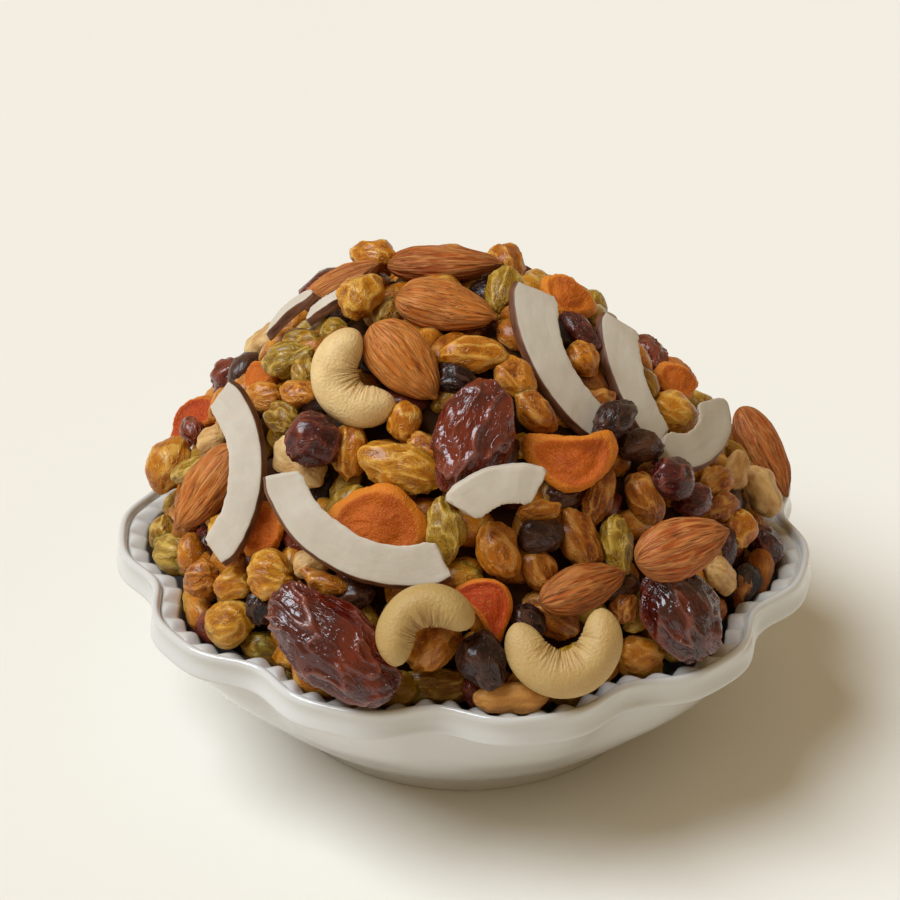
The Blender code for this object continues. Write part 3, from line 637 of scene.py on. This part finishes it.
def coconut(arc, seed):
    """A curved slice of even width; fold is -1 at the inner edge and 1 at the skin."""
    piece, fold, grain = ball(*COCONUT_MESH, "X")
    place = shifted(seed)
    sweep = math.radians(arc.sweep)
    for vertex in piece.verts:
        unit = vertex.co.copy()
        along = math.asin(max(min(unit.y, 1.0), -1.0)) / math.pi * 1.06
        share = max(min(along, 0.5), -0.5)
        ring = max(math.hypot(unit.x, unit.z), 0.0001)
        across = math.copysign(abs(unit.x / ring) ** COCONUT_SQUARENESS, unit.x)
        rise = math.copysign(abs(unit.z / ring) ** COCONUT_SQUARENESS, unit.z)
        closing = 1.0 - smooth_step(0.5, 0.53, abs(along))
        blunt = 1.0 - 0.16 * smooth_step(0.43, 0.5, abs(share))
        width = arc.width * (1.0 - arc.taper * share) * blunt
        wobble = noise.noise(Vector((share * 5.0, across * 0.6, 0.0)) + place)
        torn = noise.noise(Vector((share * 22.0, across * 2.4, rise * 0.4)) - place)
        thick = COCONUT_THICKNESS * (0.9 + 0.2 * wobble)
        radius = arc.radius + 0.5 * width * across * closing + 0.35 * wobble
        radius -= COCONUT_SLANT * rise * closing
        bow = COCONUT_BOW * arc.radius * math.cos(share * math.pi)
        radius += 0.22 * torn * (1.0 - 0.5 * across)
        turn = share * sweep + (0.7 * torn + 0.5 * wobble) * abs(share) / arc.radius
        vertex[fold] = across * closing * arc.skin
        height = bow + 0.5 * thick * rise * closing + 0.25 * wobble * across
        vertex.co = Vector((radius * math.cos(turn), radius * math.sin(turn), height))
        vertex[grain] = Vector((radius * 0.6, turn * arc.radius * 0.25, height))
    return piece


# Bowl

def bowl_profile():
    """(radius, height) from the middle of the inside, over the lip, down to the foot."""
    inside = [
        (0.0, 6.5), (20.0, 6.5), (40.0, 7.2), (50.0, 10.5), (58.5, 17.6), (65.8, 26.0),
        (70.2, 34.5), (72.8, 41.0), (73.4, 43.4),
    ]
    band = []
    for row in range(BEAD_BAND_ROWS + 1):
        share = row / BEAD_BAND_ROWS
        radius = GROOVE_RADIUS - BEAD_BAND_WIDTH * (1.0 - share)
        band.append((radius, mixed(BEAD_FOOT, BEAD_TOP, share)))
    lip = [
        (78.35, 46.5), (78.55, 46.7), (78.65, 47.4), (78.9, 48.05), (79.25, 48.45),
        (79.7, 48.6), (80.2, 48.5), (80.6, 48.15), (80.8, 47.6), (80.78, 47.0),
        (80.6, 46.3), (80.5, 45.5), (80.55, 44.6), (80.75, 43.7), (81.05, 42.9),
        (81.3, 42.3), (81.38, 41.9), (81.3, 41.55), (81.0, 41.3), (80.3, 41.0),
        (79.3, 40.7), (78.3, 40.4), (77.9, 40.25),
    ]
    side = curved([
        (77.4, 39.6), (75.8, 36.2), (73.6, 31.2), (70.9, 26.0), (66.7, 20.6), (61.2, 14.9),
        (55.2, 9.3), (51.2, 6.2), (49.4, 5.0),
    ], SIDE_STEPS)
    foot = [
        (48.9, 4.75), (48.4, 4.6), (47.5, 4.5), (47.2, 4.3), (FOOT_RADIUS, 3.8),
        (FOOT_RADIUS, 0.35), (46.6, 0.0),
        (FOOT_RADIUS - FOOT_WIDTH + 0.4, 0.0), (FOOT_RADIUS - FOOT_WIDTH, 0.4),
        (FOOT_RADIUS - FOOT_WIDTH - 0.9, 2.2), (FOOT_RADIUS - FOOT_WIDTH - 1.4, 2.5),
        (20.0, 2.5), (0.0, 2.5),
    ]
    return inside + band + lip + [(77.75, 40.05)] + side + foot


def curved(points, steps):
    """The points with a smooth curve drawn through them."""
    made = []
    padded = [points[0]] + points + [points[-1]]
    for before, start, end, after in zip(padded, padded[1:], padded[2:], padded[3:]):
        for step in range(steps):
            t = step / steps
            made.append(tuple(
                0.5 * (2.0 * b + (c - a) * t + (2.0 * a - 5.0 * b + 4.0 * c - d) * t ** 2
                       + (3.0 * b - a - 3.0 * c + d) * t ** 3)
                for a, b, c, d in zip(before, start, end, after)))
    return made + [points[-1]]


def bead_swell(radius, bearing):
    """Height of the row of beads here: round-topped, with sharp valleys between."""
    inner = GROOVE_RADIUS - BEAD_BAND_WIDTH
    share = (radius - inner) / BEAD_BAND_WIDTH
    if not 0.0 <= share <= 1.0:
        return 0.0
    place = (bearing - FIRST_NOTCH) / math.tau * BEADS
    across = 2.0 * (place - math.floor(place)) - 1.0
    dome = (0.5 + 0.5 * math.cos(math.pi * across)) ** 0.65
    return dome * math.sin(math.pi * mixed(0.3, 1.0, share)) ** 0.6


def make_bowl():
    turned = bmesh.new()
    points = [turned.verts.new((radius, 0.0, height)) for radius, height in bowl_profile()]
    edges = [turned.edges.new(pair) for pair in zip(points, points[1:])]
    bmesh.ops.spin(turned, geom=points + edges, cent=(0, 0, 0), axis=(0, 0, 1),
                   angle=math.tau, steps=BEADS * BEAD_COLUMNS, use_merge=True)
    bmesh.ops.remove_doubles(turned, verts=turned.verts, dist=0.001)
    leaning = Vector((BEAD_FOOT - BEAD_TOP, BEAD_BAND_WIDTH)).normalized()
    for vertex in turned.verts:
        radius = math.hypot(vertex.co.x, vertex.co.y)
        if radius < 1.0:
            continue
        bearing = math.atan2(vertex.co.y, vertex.co.x) + FIRST_NOTCH
        height = vertex.co.z
        swell = BEAD_RELIEF * bead_swell(radius, bearing) if height > BEAD_FOOT - 0.1 else 0.0
        wave = smooth_step(WAVE_START, WAVE_FULL, height) if radius >= FOOT_RADIUS else 0.0
        radius += LOBE_DEPTH * wave * scallop(bearing) + swell * leaning.x
        height += swell * leaning.y
        vertex.co = Vector((radius * math.cos(bearing), radius * math.sin(bearing), height))
    bmesh.ops.recalc_face_normals(turned, faces=turned.faces)
    bmesh.ops.scale(turned, verts=turned.verts, vec=(MM, MM, MM))
    mesh = bpy.data.meshes.new("bowl_porcelain")
    turned.to_mesh(mesh)
    turned.free()
    return mesh


def make_core():
    """The inside of the heap, seen only down the gaps between the pieces; its near black colour is
    painted shade for those gaps.
    """
    core = bmesh.new()
    around, along = CORE_MESH
    bmesh.ops.create_uvsphere(core, u_segments=around, v_segments=along, radius=1.0)
    for vertex in core.verts:
        way = vertex.co.normalized()
        bump_out = way * CORE_BUMP * noise.noise(way * CORE_BUMPINESS)
        vertex.co = core_spot(way, CORE_SHRINK) + bump_out
    bmesh.ops.scale(core, verts=core.verts, vec=(MM, MM, MM))
    mesh = bpy.data.meshes.new("heap_core")
    core.to_mesh(mesh)
    core.free()
    return mesh


# Laying the large pieces where their solids are

def numbered(kind, count):
    return [f"{kind}_{number}" for number in range(1, count + 1)]


def lay_large(kind, node_kind, spots, shape):
    nodes = numbered(node_kind, len(spots))
    for seed, (node, laid) in enumerate(zip(nodes, spots)):
        axes, low, high = node_place(node, laid)
        piece = fitted(shape(laid, high - low, seed), low, high)
        kind.add(piece, axes.to_4x4(), laid.tone)
    return nodes


# Laying the small pieces

def large_tree():
    """The solids that no small piece may cut: the bowl and every large piece."""
    points = []
    faces = []
    for name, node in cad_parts.items():
        if name == "heap":
            continue
        first = len(points)
        points += [vertex.co / MM for vertex in node.data.vertices]
        faces += [[first + corner for corner in face.vertices] for face in node.data.polygons]
    return BVHTree.FromPolygons(points, faces)


def rough_tree(size, matrix):
    rough = bmesh.new()
    bmesh.ops.create_icosphere(rough, subdivisions=2, radius=ROUGH_RADIUS)
    bmesh.ops.scale(rough, verts=rough.verts, vec=size)
    bmesh.ops.transform(rough, verts=rough.verts, matrix=matrix)
    tree = BVHTree.FromBMesh(rough)
    rough.free()
    return tree


class Heap:
    """Lays small pieces on the core, each sunk until it is clear of the large ones."""

    def __init__(self):
        self.kinds = {name: Kind("raisins_" + name) for name in SMALLS}
        self.large = large_tree()
        self.taken = []
        self.count = 0

    def lay(self, name, place, length, width, lift, moves, mesh):
        draw = random.Random(self.count)
        size = Vector((length, width, width * draw.uniform(*THICKNESSES)))
        for move in moves:
            matrix = place(lift * width + move)
            if not self.large.overlap(rough_tree(size, matrix)):
                break
        else:
            return
        around, along = mesh
        depth = draw.uniform(*WRINKLE_DEPTHS) * WRINKLES[name]
        piece = raisin(size, around, along, self.count, depth)
        self.kinds[name].add(piece, matrix, draw.random())
        self.taken.append((matrix.translation.copy(), lift, 0.25 * (length + width)))
        self.count += 1

    def is_open(self, point, spacing, lift):
        """Whether no piece of the same layer comes nearer than half the spacing."""
        return all(abs(lift - other) > 0.2 or (point - spot).length > 0.5 * spacing + reach
                   for spot, other, reach in self.taken)


def seen_place(small):
    def place(lift):
        middle = on_sight(small.spot, lift)
        return placed(seen_axes(middle, small.turn, SMALL_FACE), middle)
    return place


def unseen_place(spot, turn):
    def place(lift):
        middle = spot + heap_normal(spot) * lift
        return placed(unseen_axes(middle, turn), middle)
    return place


def drawn_kind(draw):
    share = draw.random()
    for name, part in KIND_SHARES:
        share -= part
        if share < 0.0:
            return name
    return KIND_SHARES[0][0]


def lay_layer(heap, count, lift, spacing, mesh, draw):
    """Evenly spread spots over the dome by the golden angle, kept where there is room."""
    golden = math.pi * (3.0 - math.sqrt(5.0))
    for index in range(count):
        height = mixed(1.0, LOWEST_WAY, (index + 0.5) / count)
        bearing = index * golden + draw.uniform(-0.05, 0.05)
        level = math.sqrt(1.0 - height * height)
        spot = core_spot(Vector((level * math.cos(bearing), level * math.sin(bearing), height)))
        length = draw.uniform(*FILL_LENGTHS)
        width = length * draw.uniform(*FILL_WIDTHS)
        place = unseen_place(spot, draw.uniform(0.0, 180.0))
        if heap.is_open(place(lift * width).translation, spacing, lift):
            heap.lay(drawn_kind(draw), place, length, width, lift, SINKS, mesh)


def lay_trench(heap, draw):
    """Fills the gap between the core and the row of beads."""
    for index in range(TRENCH_PIECES):
        bearing = (index + draw.uniform(-0.25, 0.25)) / TRENCH_PIECES * math.tau
        radius = TRENCH_RADIUS + 0.9 * LOBE_DEPTH * scallop(bearing)
        middle = Vector((radius * math.cos(bearing), radius * math.sin(bearing),
                         TRENCH_HEIGHT + draw.uniform(*TRENCH_RISES)))
        turn = draw.uniform(*TRENCH_TURNS)
        length = draw.uniform(*TRENCH_LENGTHS)
        width = length * draw.uniform(*TRENCH_WIDTHS)
        inward = Vector((math.cos(bearing), math.sin(bearing), 0.0))

        def place(lift, middle=middle, turn=turn, inward=inward):
            return placed(unseen_axes(middle, turn), middle + inward * (lift - 0.5))

        heap.lay(drawn_kind(draw), place, length, width, 0.0, SINKS, PLAIN_MESH)


def lay_smalls():
    heap = Heap()
    for name, spots in SMALLS.items():
        for small in spots:
            place = seen_place(small)
            heap.lay(name, place, small.length, small.width, SMALL_LIFT, SHIFTS, FINE_MESH)
    draw = random.Random(FILL_SEED)
    lay_layer(heap, UPPER_PIECES, UPPER_LIFT, UPPER_SPACING, PLAIN_MESH, draw)
    lay_layer(heap, UNDER_PIECES, UNDER_LIFT, UNDER_SPACING, HIDDEN_MESH, draw)
    lay_trench(heap, draw)
    return heap


# Finishes

COAT_ROUGHNESS = 0.12
GLOW_COLOUR = (1.0, 0.45, 0.18)
TONE_SHIFT = 37.0
FRUIT_GLOW_DEPTH = 3.2
FRUIT_GLOSS = 0.3


def new_finish(name, roughness, coat=0.0, glow=0.0, glow_depth=0.0, gloss=0.5):
    made = bpy.data.materials.new(name)
    made.use_nodes = True
    tree = made.node_tree
    shader = tree.nodes["Principled BSDF"]
    shader.inputs["Roughness"].default_value = roughness
    shader.inputs["Specular IOR Level"].default_value = gloss
    shader.inputs["Coat Weight"].default_value = coat
    shader.inputs["Coat Roughness"].default_value = COAT_ROUGHNESS
    shader.inputs["Subsurface Weight"].default_value = glow
    shader.inputs["Subsurface Scale"].default_value = glow_depth * MM
    shader.inputs["Subsurface Radius"].default_value = GLOW_COLOUR
    return made, tree, shader


def mark(tree, name, output="Fac"):
    reader = tree.nodes.new("ShaderNodeAttribute")
    reader.attribute_name = name
    return reader.outputs[output]


def marks(tree):
    return mark(tree, "grain", "Vector"), mark(tree, "tone"), mark(tree, "fold")


def speckle(tree, place, scale, detail, tone=None, stretch=None, warp=0.0):
    """Noise over a piece, moved on by its tone so that no two pieces match."""
    made = tree.nodes.new("ShaderNodeTexNoise")
    made.noise_dimensions = "4D"
    made.inputs["Scale"].default_value = scale
    made.inputs["Detail"].default_value = detail
    made.inputs["Distortion"].default_value = warp
    if stretch:
        mapping = tree.nodes.new("ShaderNodeMapping")
        mapping.inputs["Scale"].default_value = stretch
        tree.links.new(place, mapping.inputs["Vector"])
        place = mapping.outputs["Vector"]
    tree.links.new(place, made.inputs["Vector"])
    if tone is not None:
        times = tree.nodes.new("ShaderNodeMath")
        times.operation = "MULTIPLY"
        times.inputs[1].default_value = TONE_SHIFT
        tree.links.new(tone, times.inputs[0])
        tree.links.new(times.outputs[0], made.inputs["W"])
    return made.outputs["Fac"]


def ramp(tree, value, stops):
    made = tree.nodes.new("ShaderNodeValToRGB")
    colours = made.color_ramp
    colours.elements[0].position = stops[0][0]
    colours.elements[0].color = (*stops[0][1], 1.0)
    colours.elements[1].position = stops[-1][0]
    colours.elements[1].color = (*stops[-1][1], 1.0)
    for position, colour in stops[1:-1]:
        colours.elements.new(position).color = (*colour, 1.0)
    tree.links.new(value, made.inputs["Fac"])
    return made.outputs["Color"]


def grey(low, high, start=0.0, end=1.0):
    return [(start, (low,) * 3), (end, (high,) * 3)]


def veins(tree, value, width):
    """White along the lines where a noise crosses its middle, black away from them."""
    black = (0.0, 0.0, 0.0)
    white = (1.0, 1.0, 1.0)
    return ramp(tree, value, [(0.5 - width, black), (0.5, white), (0.5 + width, black)])


def blend(tree, share, first, second, way="MIX"):
    made = tree.nodes.new("ShaderNodeMix")
    made.data_type = "RGBA"
    made.blend_type = way
    sockets = (made.inputs[0], made.inputs[6], made.inputs[7])
    for socket, value in zip(sockets, (share, first, second)):
        if isinstance(value, bpy.types.NodeSocket):
            tree.links.new(value, socket)
        elif isinstance(value, tuple):
            socket.default_value = (*value, 1.0)
        else:
            socket.default_value = value
    return made.outputs[2]


def bump(tree, shader, height, depth, under=None):
    made = tree.nodes.new("ShaderNodeBump")
    made.inputs["Distance"].default_value = depth * MM
    tree.links.new(height, made.inputs["Height"])
    if under is not None:
        tree.links.new(under, made.inputs["Normal"])
    tree.links.new(made.outputs["Normal"], shader.inputs["Normal"])
    return made.outputs["Normal"]


def fruit_finish(name, tones, patch_tint_and_furrow_shade, ridge, roughness, coat, glow):
    """Dried berries, each of a tone of its own: pale ridges over darker, clearer flesh; the paler
    ridges are a painted highlight and the darker furrows painted shade.
    """
    made, tree, shader = new_finish(name, roughness, coat, glow, FRUIT_GLOW_DEPTH, FRUIT_GLOSS)
    grain, tone, fold = marks(tree)
    own = ramp(tree, tone, tones)
    patches = ramp(tree, speckle(tree, grain, 0.2, 3.0, tone), grey(0.0, 0.7, 0.42, 0.68))
    own = blend(tree, patches, own, blend(tree, 1.0, own, patch_tint_and_furrow_shade, "MULTIPLY"))
    lines = speckle(tree, grain, 0.62, 2.0, tone, (0.45, 1.0, 1.0), 0.7)
    fine = veins(tree, lines, 0.05)
    # Painted shade: the colour multiplied darker in the furrows, where fold is low
    furrow = blend(tree, 1.0, own, patch_tint_and_furrow_shade, "MULTIPLY")
    colour = blend(tree, ramp(tree, fold, grey(0.0, 1.0, 0.0, 0.4)), furrow, own)
    # Painted highlight: the ridge colour laid on where fold or the fine lines are high
    height = blend(tree, 1.0, blend(tree, 1.0, fine, (0.85,) * 3, "MULTIPLY"), fold, "LIGHTEN")
    colour = blend(tree, ramp(tree, height, grey(0.0, 0.6, 0.6, 1.0)), colour, ridge)
    tree.links.new(colour, shader.inputs["Base Color"])
    wrinkled = bump(tree, shader, fine, 0.18)
    bump(tree, shader, speckle(tree, grain, 1.6, 4.0, tone), 0.11, wrinkled)
    return made


def almond_finish():
    made, tree, shader = new_finish("almond_skin", 0.5, glow=0.05, glow_depth=0.6, gloss=0.25)
    grain, tone, fold = marks(tree)
    own = ramp(tree, tone, [(0.0, (0.56, 0.165, 0.018)), (1.0, (0.36, 0.075, 0.010))])
    streaks = speckle(tree, grain, 2.3, 4.0, tone, (0.3, 1.0, 1.0))
    lines = veins(tree, speckle(tree, grain, 1.9, 2.0, tone, (0.3, 1.0, 1.0)), 0.06)
    # dark: the skin darkened, used as painted shade in the grooves and for darker streaks
    dark = blend(tree, 1.0, own, (0.40, 0.28, 0.2), "MULTIPLY")
    colour = blend(tree, ramp(tree, fold, grey(0.0, 1.0, 0.0, 0.25)), dark, own)
    colour = blend(tree, ramp(tree, streaks, grey(0.6, 0.0, 0.36, 0.5)), colour, dark)
    # pale: a painted highlight on the ridges and along the fine lines
    pale = blend(tree, 1.0, ramp(tree, fold, grey(0.0, 0.7, 0.55, 1.0)), lines, "LIGHTEN")
    colour = blend(tree, blend(tree, 1.0, pale, (0.6,) * 3, "MULTIPLY"), colour, (0.74, 0.34, 0.10))
    tree.links.new(colour, shader.inputs["Base Color"])
    ribbed = bump(tree, shader, lines, 0.22)
    bump(tree, shader, streaks, 0.2, ribbed)
    return made


def date_finish():
    """Clear dark red skin, paler and drier along the folds; the paler colour there is partly a
    painted highlight on their crests.
    """
    made, tree, shader = new_finish("date_skin", 0.2, coat=0.25, glow=0.12, glow_depth=1.5,
                                    gloss=0.6)
    grain, tone, fold = marks(tree)
    own = ramp(tree, tone, [(0.0, (0.13, 0.008, 0.003)), (1.0, (0.05, 0.004, 0.003))])
    patches = ramp(tree, speckle(tree, grain, 0.14, 3.0, tone), grey(0.0, 1.0, 0.44, 0.7))
    own = blend(tree, patches, own, (0.16, 0.018, 0.004))
    own = blend(tree, ramp(tree, patches, grey(0.5, 0.0, 0.0, 0.4)), own, (0.04, 0.004, 0.003))
    # Paler along the folds: dry skin, and in part a painted highlight on the crests
    dry_skin_and_highlight = ramp(tree, fold, grey(0.0, 0.4, 0.55, 1.0))
    colour = blend(tree, dry_skin_and_highlight, own, (0.36, 0.12, 0.075))
    tree.links.new(colour, shader.inputs["Base Color"])
    tree.links.new(ramp(tree, fold, grey(0.13, 0.28)), shader.inputs["Roughness"])
    creases = veins(tree, speckle(tree, grain, 0.42, 2.0, tone, (0.5, 1.0, 1.0), 0.5), 0.05)
    creased = bump(tree, shader, creases, 0.14)
    bump(tree, shader, speckle(tree, grain, 0.9, 4.0, tone), 0.12, creased)
    return made


def nut_finish(name, pale, warm, spots, roughness):
    """Shelled nuts: cream to tan, with warmer patches and painted shade in the creases."""
    made, tree, shader = new_finish(name, roughness, glow=0.15, glow_depth=1.6, gloss=0.35)
    grain, tone, fold = marks(tree)
    own = ramp(tree, tone, [(0.0, pale), (1.0, warm)])
    patches = ramp(tree, speckle(tree, grain, 0.16, 4.0, tone), grey(0.0, 0.8, 0.42, 0.68))
    own = blend(tree, patches, own, blend(tree, 0.6, own, spots))
    # Painted shade: darker where fold is low, in the creases and along the split
    crease = blend(tree, 1.0, own, (0.66, 0.52, 0.38), "MULTIPLY")
    colour = blend(tree, ramp(tree, fold, grey(0.0, 1.0, 0.1, 0.85)), crease, own)
    freckles = ramp(tree, speckle(tree, grain, 2.0, 2.0, tone), grey(0.4, 0.0, 0.28, 0.42))
    tree.links.new(blend(tree, freckles, colour, spots), shader.inputs["Base Color"])
    bump(tree, shader, speckle(tree, grain, 1.5, 5.0, tone), 0.35)
    return made


def apricot_finish():
    """Orange, grainy flesh inside a paler, clearer rolled rim."""
    made, tree, shader = new_finish("apricot_flesh", 0.45, glow=0.3, glow_depth=2.5, gloss=0.2)
    grain, tone, fold = marks(tree)
    own = ramp(tree, tone, [(0.0, (0.56, 0.14, 0.006)), (1.0, (0.44, 0.04, 0.003))])
    patches = ramp(tree, speckle(tree, grain, 0.2, 3.0, tone), grey(0.0, 0.7, 0.42, 0.72))
    own = blend(tree, patches, own, (0.36, 0.05, 0.004))
    grainy = speckle(tree, grain, 2.4, 3.0, tone)
    own = blend(tree, ramp(tree, grainy, grey(0.0, 0.4, 0.5, 0.7)), own, (0.66, 0.27, 0.05))
    rim = blend(tree, 0.5, own, (0.84, 0.32, 0.03))
    colour = blend(tree, ramp(tree, fold, grey(0.0, 0.9, 0.5, 1.0)), own, rim)
    tree.links.new(colour, shader.inputs["Base Color"])
    bump(tree, shader, grainy, 0.5)
    tree.links.new(ramp(tree, grainy, grey(0.3, 0.6, 0.4, 0.65)), shader.inputs["Roughness"])
    return made


def coconut_finish():
    """White flesh with faint fibres, and a thin brown skin on the outer edge."""
    made, tree, shader = new_finish("coconut_flesh", 0.5, glow=0.25, glow_depth=1.6, gloss=0.35)
    grain, tone, fold = marks(tree)
    clouds = speckle(tree, grain, 0.12, 3.0, tone)
    own = ramp(tree, tone, [(0.0, (0.64, 0.58, 0.50)), (1.0, (0.44, 0.38, 0.30))])
    stained = blend(tree, 1.0, own, (0.84, 0.80, 0.74), "MULTIPLY")
    flesh = blend(tree, ramp(tree, clouds, grey(0.0, 1.0, 0.3, 0.68)), stained, own)
    fibres = speckle(tree, grain, 1.1, 3.0, tone, (0.3, 1.0, 1.0))
    flesh = blend(tree, ramp(tree, fibres, grey(0.0, 0.25, 0.45, 0.7)), flesh, (0.44, 0.37, 0.28))
    husk = ramp(tree, speckle(tree, grain, 0.9, 4.0, tone),
                [(0.3, (0.06, 0.016, 0.006)), (0.7, (0.20, 0.075, 0.03))])
    edge = ramp(tree, fold, grey(0.0, 1.0, 0.93, 0.97))
    tree.links.new(blend(tree, edge, flesh, husk), shader.inputs["Base Color"])
    rough = bump(tree, shader, fibres, 0.2)
    bump(tree, shader, speckle(tree, grain, 0.5, 5.0, tone), 0.3, rough)
    return made


def gap_shade_finish():
    made, tree, shader = new_finish("painted_gap_shade", 0.8, gloss=0.1)
    place = tree.nodes.new("ShaderNodeTexCoord").outputs["Object"]
    lumps = speckle(tree, place, 160.0, 3.0)
    # Near black: painted shade down the gaps between the pieces
    colour = ramp(tree, lumps, [(0.35, (0.016, 0.005, 0.001)), (0.7, (0.06, 0.02, 0.004))])
    tree.links.new(colour, shader.inputs["Base Color"])
    return made


def porcelain_finish():
    made, tree, shader = new_finish("porcelain", 0.18, coat=0.4, glow=0.1, glow_depth=1.2)
    place = tree.nodes.new("ShaderNodeTexCoord").outputs["Object"]
    cloud = speckle(tree, place, 18.0, 3.0)
    colour = ramp(tree, cloud, [(0.3, (0.60, 0.59, 0.57)), (0.7, (0.63, 0.62, 0.60))])
    tree.links.new(colour, shader.inputs["Base Color"])
    bump(tree, shader, speckle(tree, place, 60.0, 2.0), 0.05)
    return made


def floor_finish():
    made, tree, shader = new_finish("table_top", 0.8, gloss=0.1)
    place = tree.nodes.new("ShaderNodeTexCoord").outputs["Object"]
    colour = ramp(tree, speckle(tree, place, 6.0, 4.0),
                  [(0.3, (0.805, 0.775, 0.715)), (0.7, (0.815, 0.785, 0.725))])
    tree.links.new(colour, shader.inputs["Base Color"])
    return made


# tones: colours that a kind's pieces are drawn from; next, the tint that darkens random patches
# and paints shade in its furrows; ridge: colour of its raised lines, a painted highlight
LOOKS = {
    "golden": dict(
        tones=[(0.0, (0.42, 0.125, 0.005)), (0.5, (0.52, 0.19, 0.008)), (1.0, (0.50, 0.23, 0.014))],
        patch_tint_and_furrow_shade=(0.70, 0.52, 0.3), ridge=(0.78, 0.50, 0.11), roughness=0.3, coat=0.08, glow=0.65),
    "green": dict(
        tones=[(0.0, (0.30, 0.13, 0.007)), (0.5, (0.35, 0.18, 0.010)), (1.0, (0.34, 0.205, 0.02))],
        patch_tint_and_furrow_shade=(0.66, 0.55, 0.32), ridge=(0.66, 0.47, 0.12), roughness=0.3, coat=0.08, glow=0.55),
    "amber": dict(
        tones=[(0.0, (0.30, 0.08, 0.006)), (0.5, (0.44, 0.145, 0.008)), (1.0, (0.55, 0.20, 0.012))],
        patch_tint_and_furrow_shade=(0.55, 0.38, 0.25), ridge=(0.66, 0.34, 0.08), roughness=0.3, coat=0.08, glow=0.5),
    "dark": dict(
        tones=[(0.0, (0.014, 0.004, 0.004)), (0.5, (0.035, 0.01, 0.006)), (1.0, (0.1, 0.032, 0.01))],
        patch_tint_and_furrow_shade=(0.5, 0.4, 0.4), ridge=(0.11, 0.046, 0.028), roughness=0.28, coat=0.15, glow=0.06),
    "cherry": dict(
        tones=[(0.0, (0.05, 0.006, 0.006)), (0.5, (0.11, 0.012, 0.008)), (1.0, (0.22, 0.04, 0.014))],
        patch_tint_and_furrow_shade=(0.45, 0.35, 0.35), ridge=(0.28, 0.07, 0.04), roughness=0.2, coat=0.3, glow=0.15),
}
PEANUT_LOOK = dict(pale=(0.74, 0.52, 0.23), warm=(0.56, 0.27, 0.06), spots=(0.48, 0.2, 0.04),
                   roughness=0.42)
CASHEW_LOOK = dict(pale=(0.77, 0.55, 0.26), warm=(0.46, 0.30, 0.105), spots=(0.46, 0.26, 0.08),
                   roughness=0.45)


# Studio

def lit_from(name, way, strength, softness, colour):
    """A broad light far off in this direction; softness is its width in degrees."""
    lamp = bpy.data.lights.new(name, "SUN")
    lamp.energy = strength
    lamp.angle = math.radians(softness)
    lamp.color = colour
    made = bpy.data.objects.new(name, lamp)
    made.rotation_euler = way.to_track_quat("Z", "Y").to_euler()
    bpy.context.scene.collection.objects.link(made)


def make_studio():
    plane = bmesh.new()
    bmesh.ops.create_grid(plane, x_segments=1, y_segments=1, size=FLOOR_REACH)
    mesh = bpy.data.meshes.new("floor")
    plane.to_mesh(mesh)
    plane.free()
    mesh.materials.append(floor_finish())
    floor = bpy.data.objects.new("floor", mesh)
    bpy.context.scene.collection.objects.link(floor)
    lit_from("window", WINDOW_WAY, WINDOW_STRENGTH, WINDOW_SOFTNESS, WINDOW_COLOUR)
    world = bpy.data.worlds.new("studio_air")
    world.use_nodes = True
    air = world.node_tree.nodes["Background"]
    air.inputs["Color"].default_value = AIR_COLOUR
    air.inputs["Strength"].default_value = AIR_STRENGTH
    scene = bpy.context.scene
    scene.world = world
    scene.view_settings.view_transform = "Standard"


def make_camera():
    view = bpy.data.cameras.new("camera")
    view.sensor_width = SENSOR_WIDTH
    view.lens = SIGHT_PIXELS / PICTURE * view.sensor_width
    camera = bpy.data.objects.new("camera", view)
    camera.location = SIGHT_FROM * MM
    camera.rotation_euler = (SIGHT_TO - SIGHT_FROM).to_track_quat("-Z", "Y").to_euler()
    bpy.context.scene.collection.objects.link(camera)
    bpy.context.scene.camera = camera


def main():
    show("bowl_porcelain", make_bowl(), porcelain_finish(), "porcelain", "bowl")
    show("heap_core", make_core(), gap_shade_finish(), "raisins", "heap")

    almonds = Kind("almonds")
    nodes = lay_large(almonds, "almond", ALMONDS, lambda laid, size, seed: almond(size, seed))
    almonds.finish(almond_finish(), "almond_skin", *nodes)

    dates = Kind("dates")
    nodes = lay_large(dates, "date", DATES, lambda laid, size, seed: date(size, seed))
    dates.finish(date_finish(), "date_skin", *nodes)

    apricots = Kind("apricots")
    nodes = lay_large(apricots, "apricot", APRICOTS, apricot)
    apricots.finish(apricot_finish(), "apricot_flesh", *nodes)

    nuts = Kind("peanuts")
    nodes = lay_large(nuts, "nut", NUTS, lambda laid, size, seed: nut(size, seed))
    nuts.finish(nut_finish("peanut_flesh", **PEANUT_LOOK), "nut_flesh", *nodes)

    cashews = Kind("cashews")
    nodes = lay_large(cashews, "cashew", CASHEWS, lambda laid, size, seed: cashew(laid, seed))
    cashews.finish(nut_finish("cashew_flesh", **CASHEW_LOOK), "cashew_flesh", *nodes)

    coconuts = Kind("coconuts")
    nodes = lay_large(coconuts, "coconut", COCONUTS, lambda laid, size, seed: coconut(laid, seed))
    coconuts.finish(coconut_finish(), "coconut_flesh", *nodes)

    heap = lay_smalls()
    for name, kind in heap.kinds.items():
        kind.finish(fruit_finish("raisin_" + name, **LOOKS[name]), "raisins", "heap")

    make_studio()
    make_camera()


main()
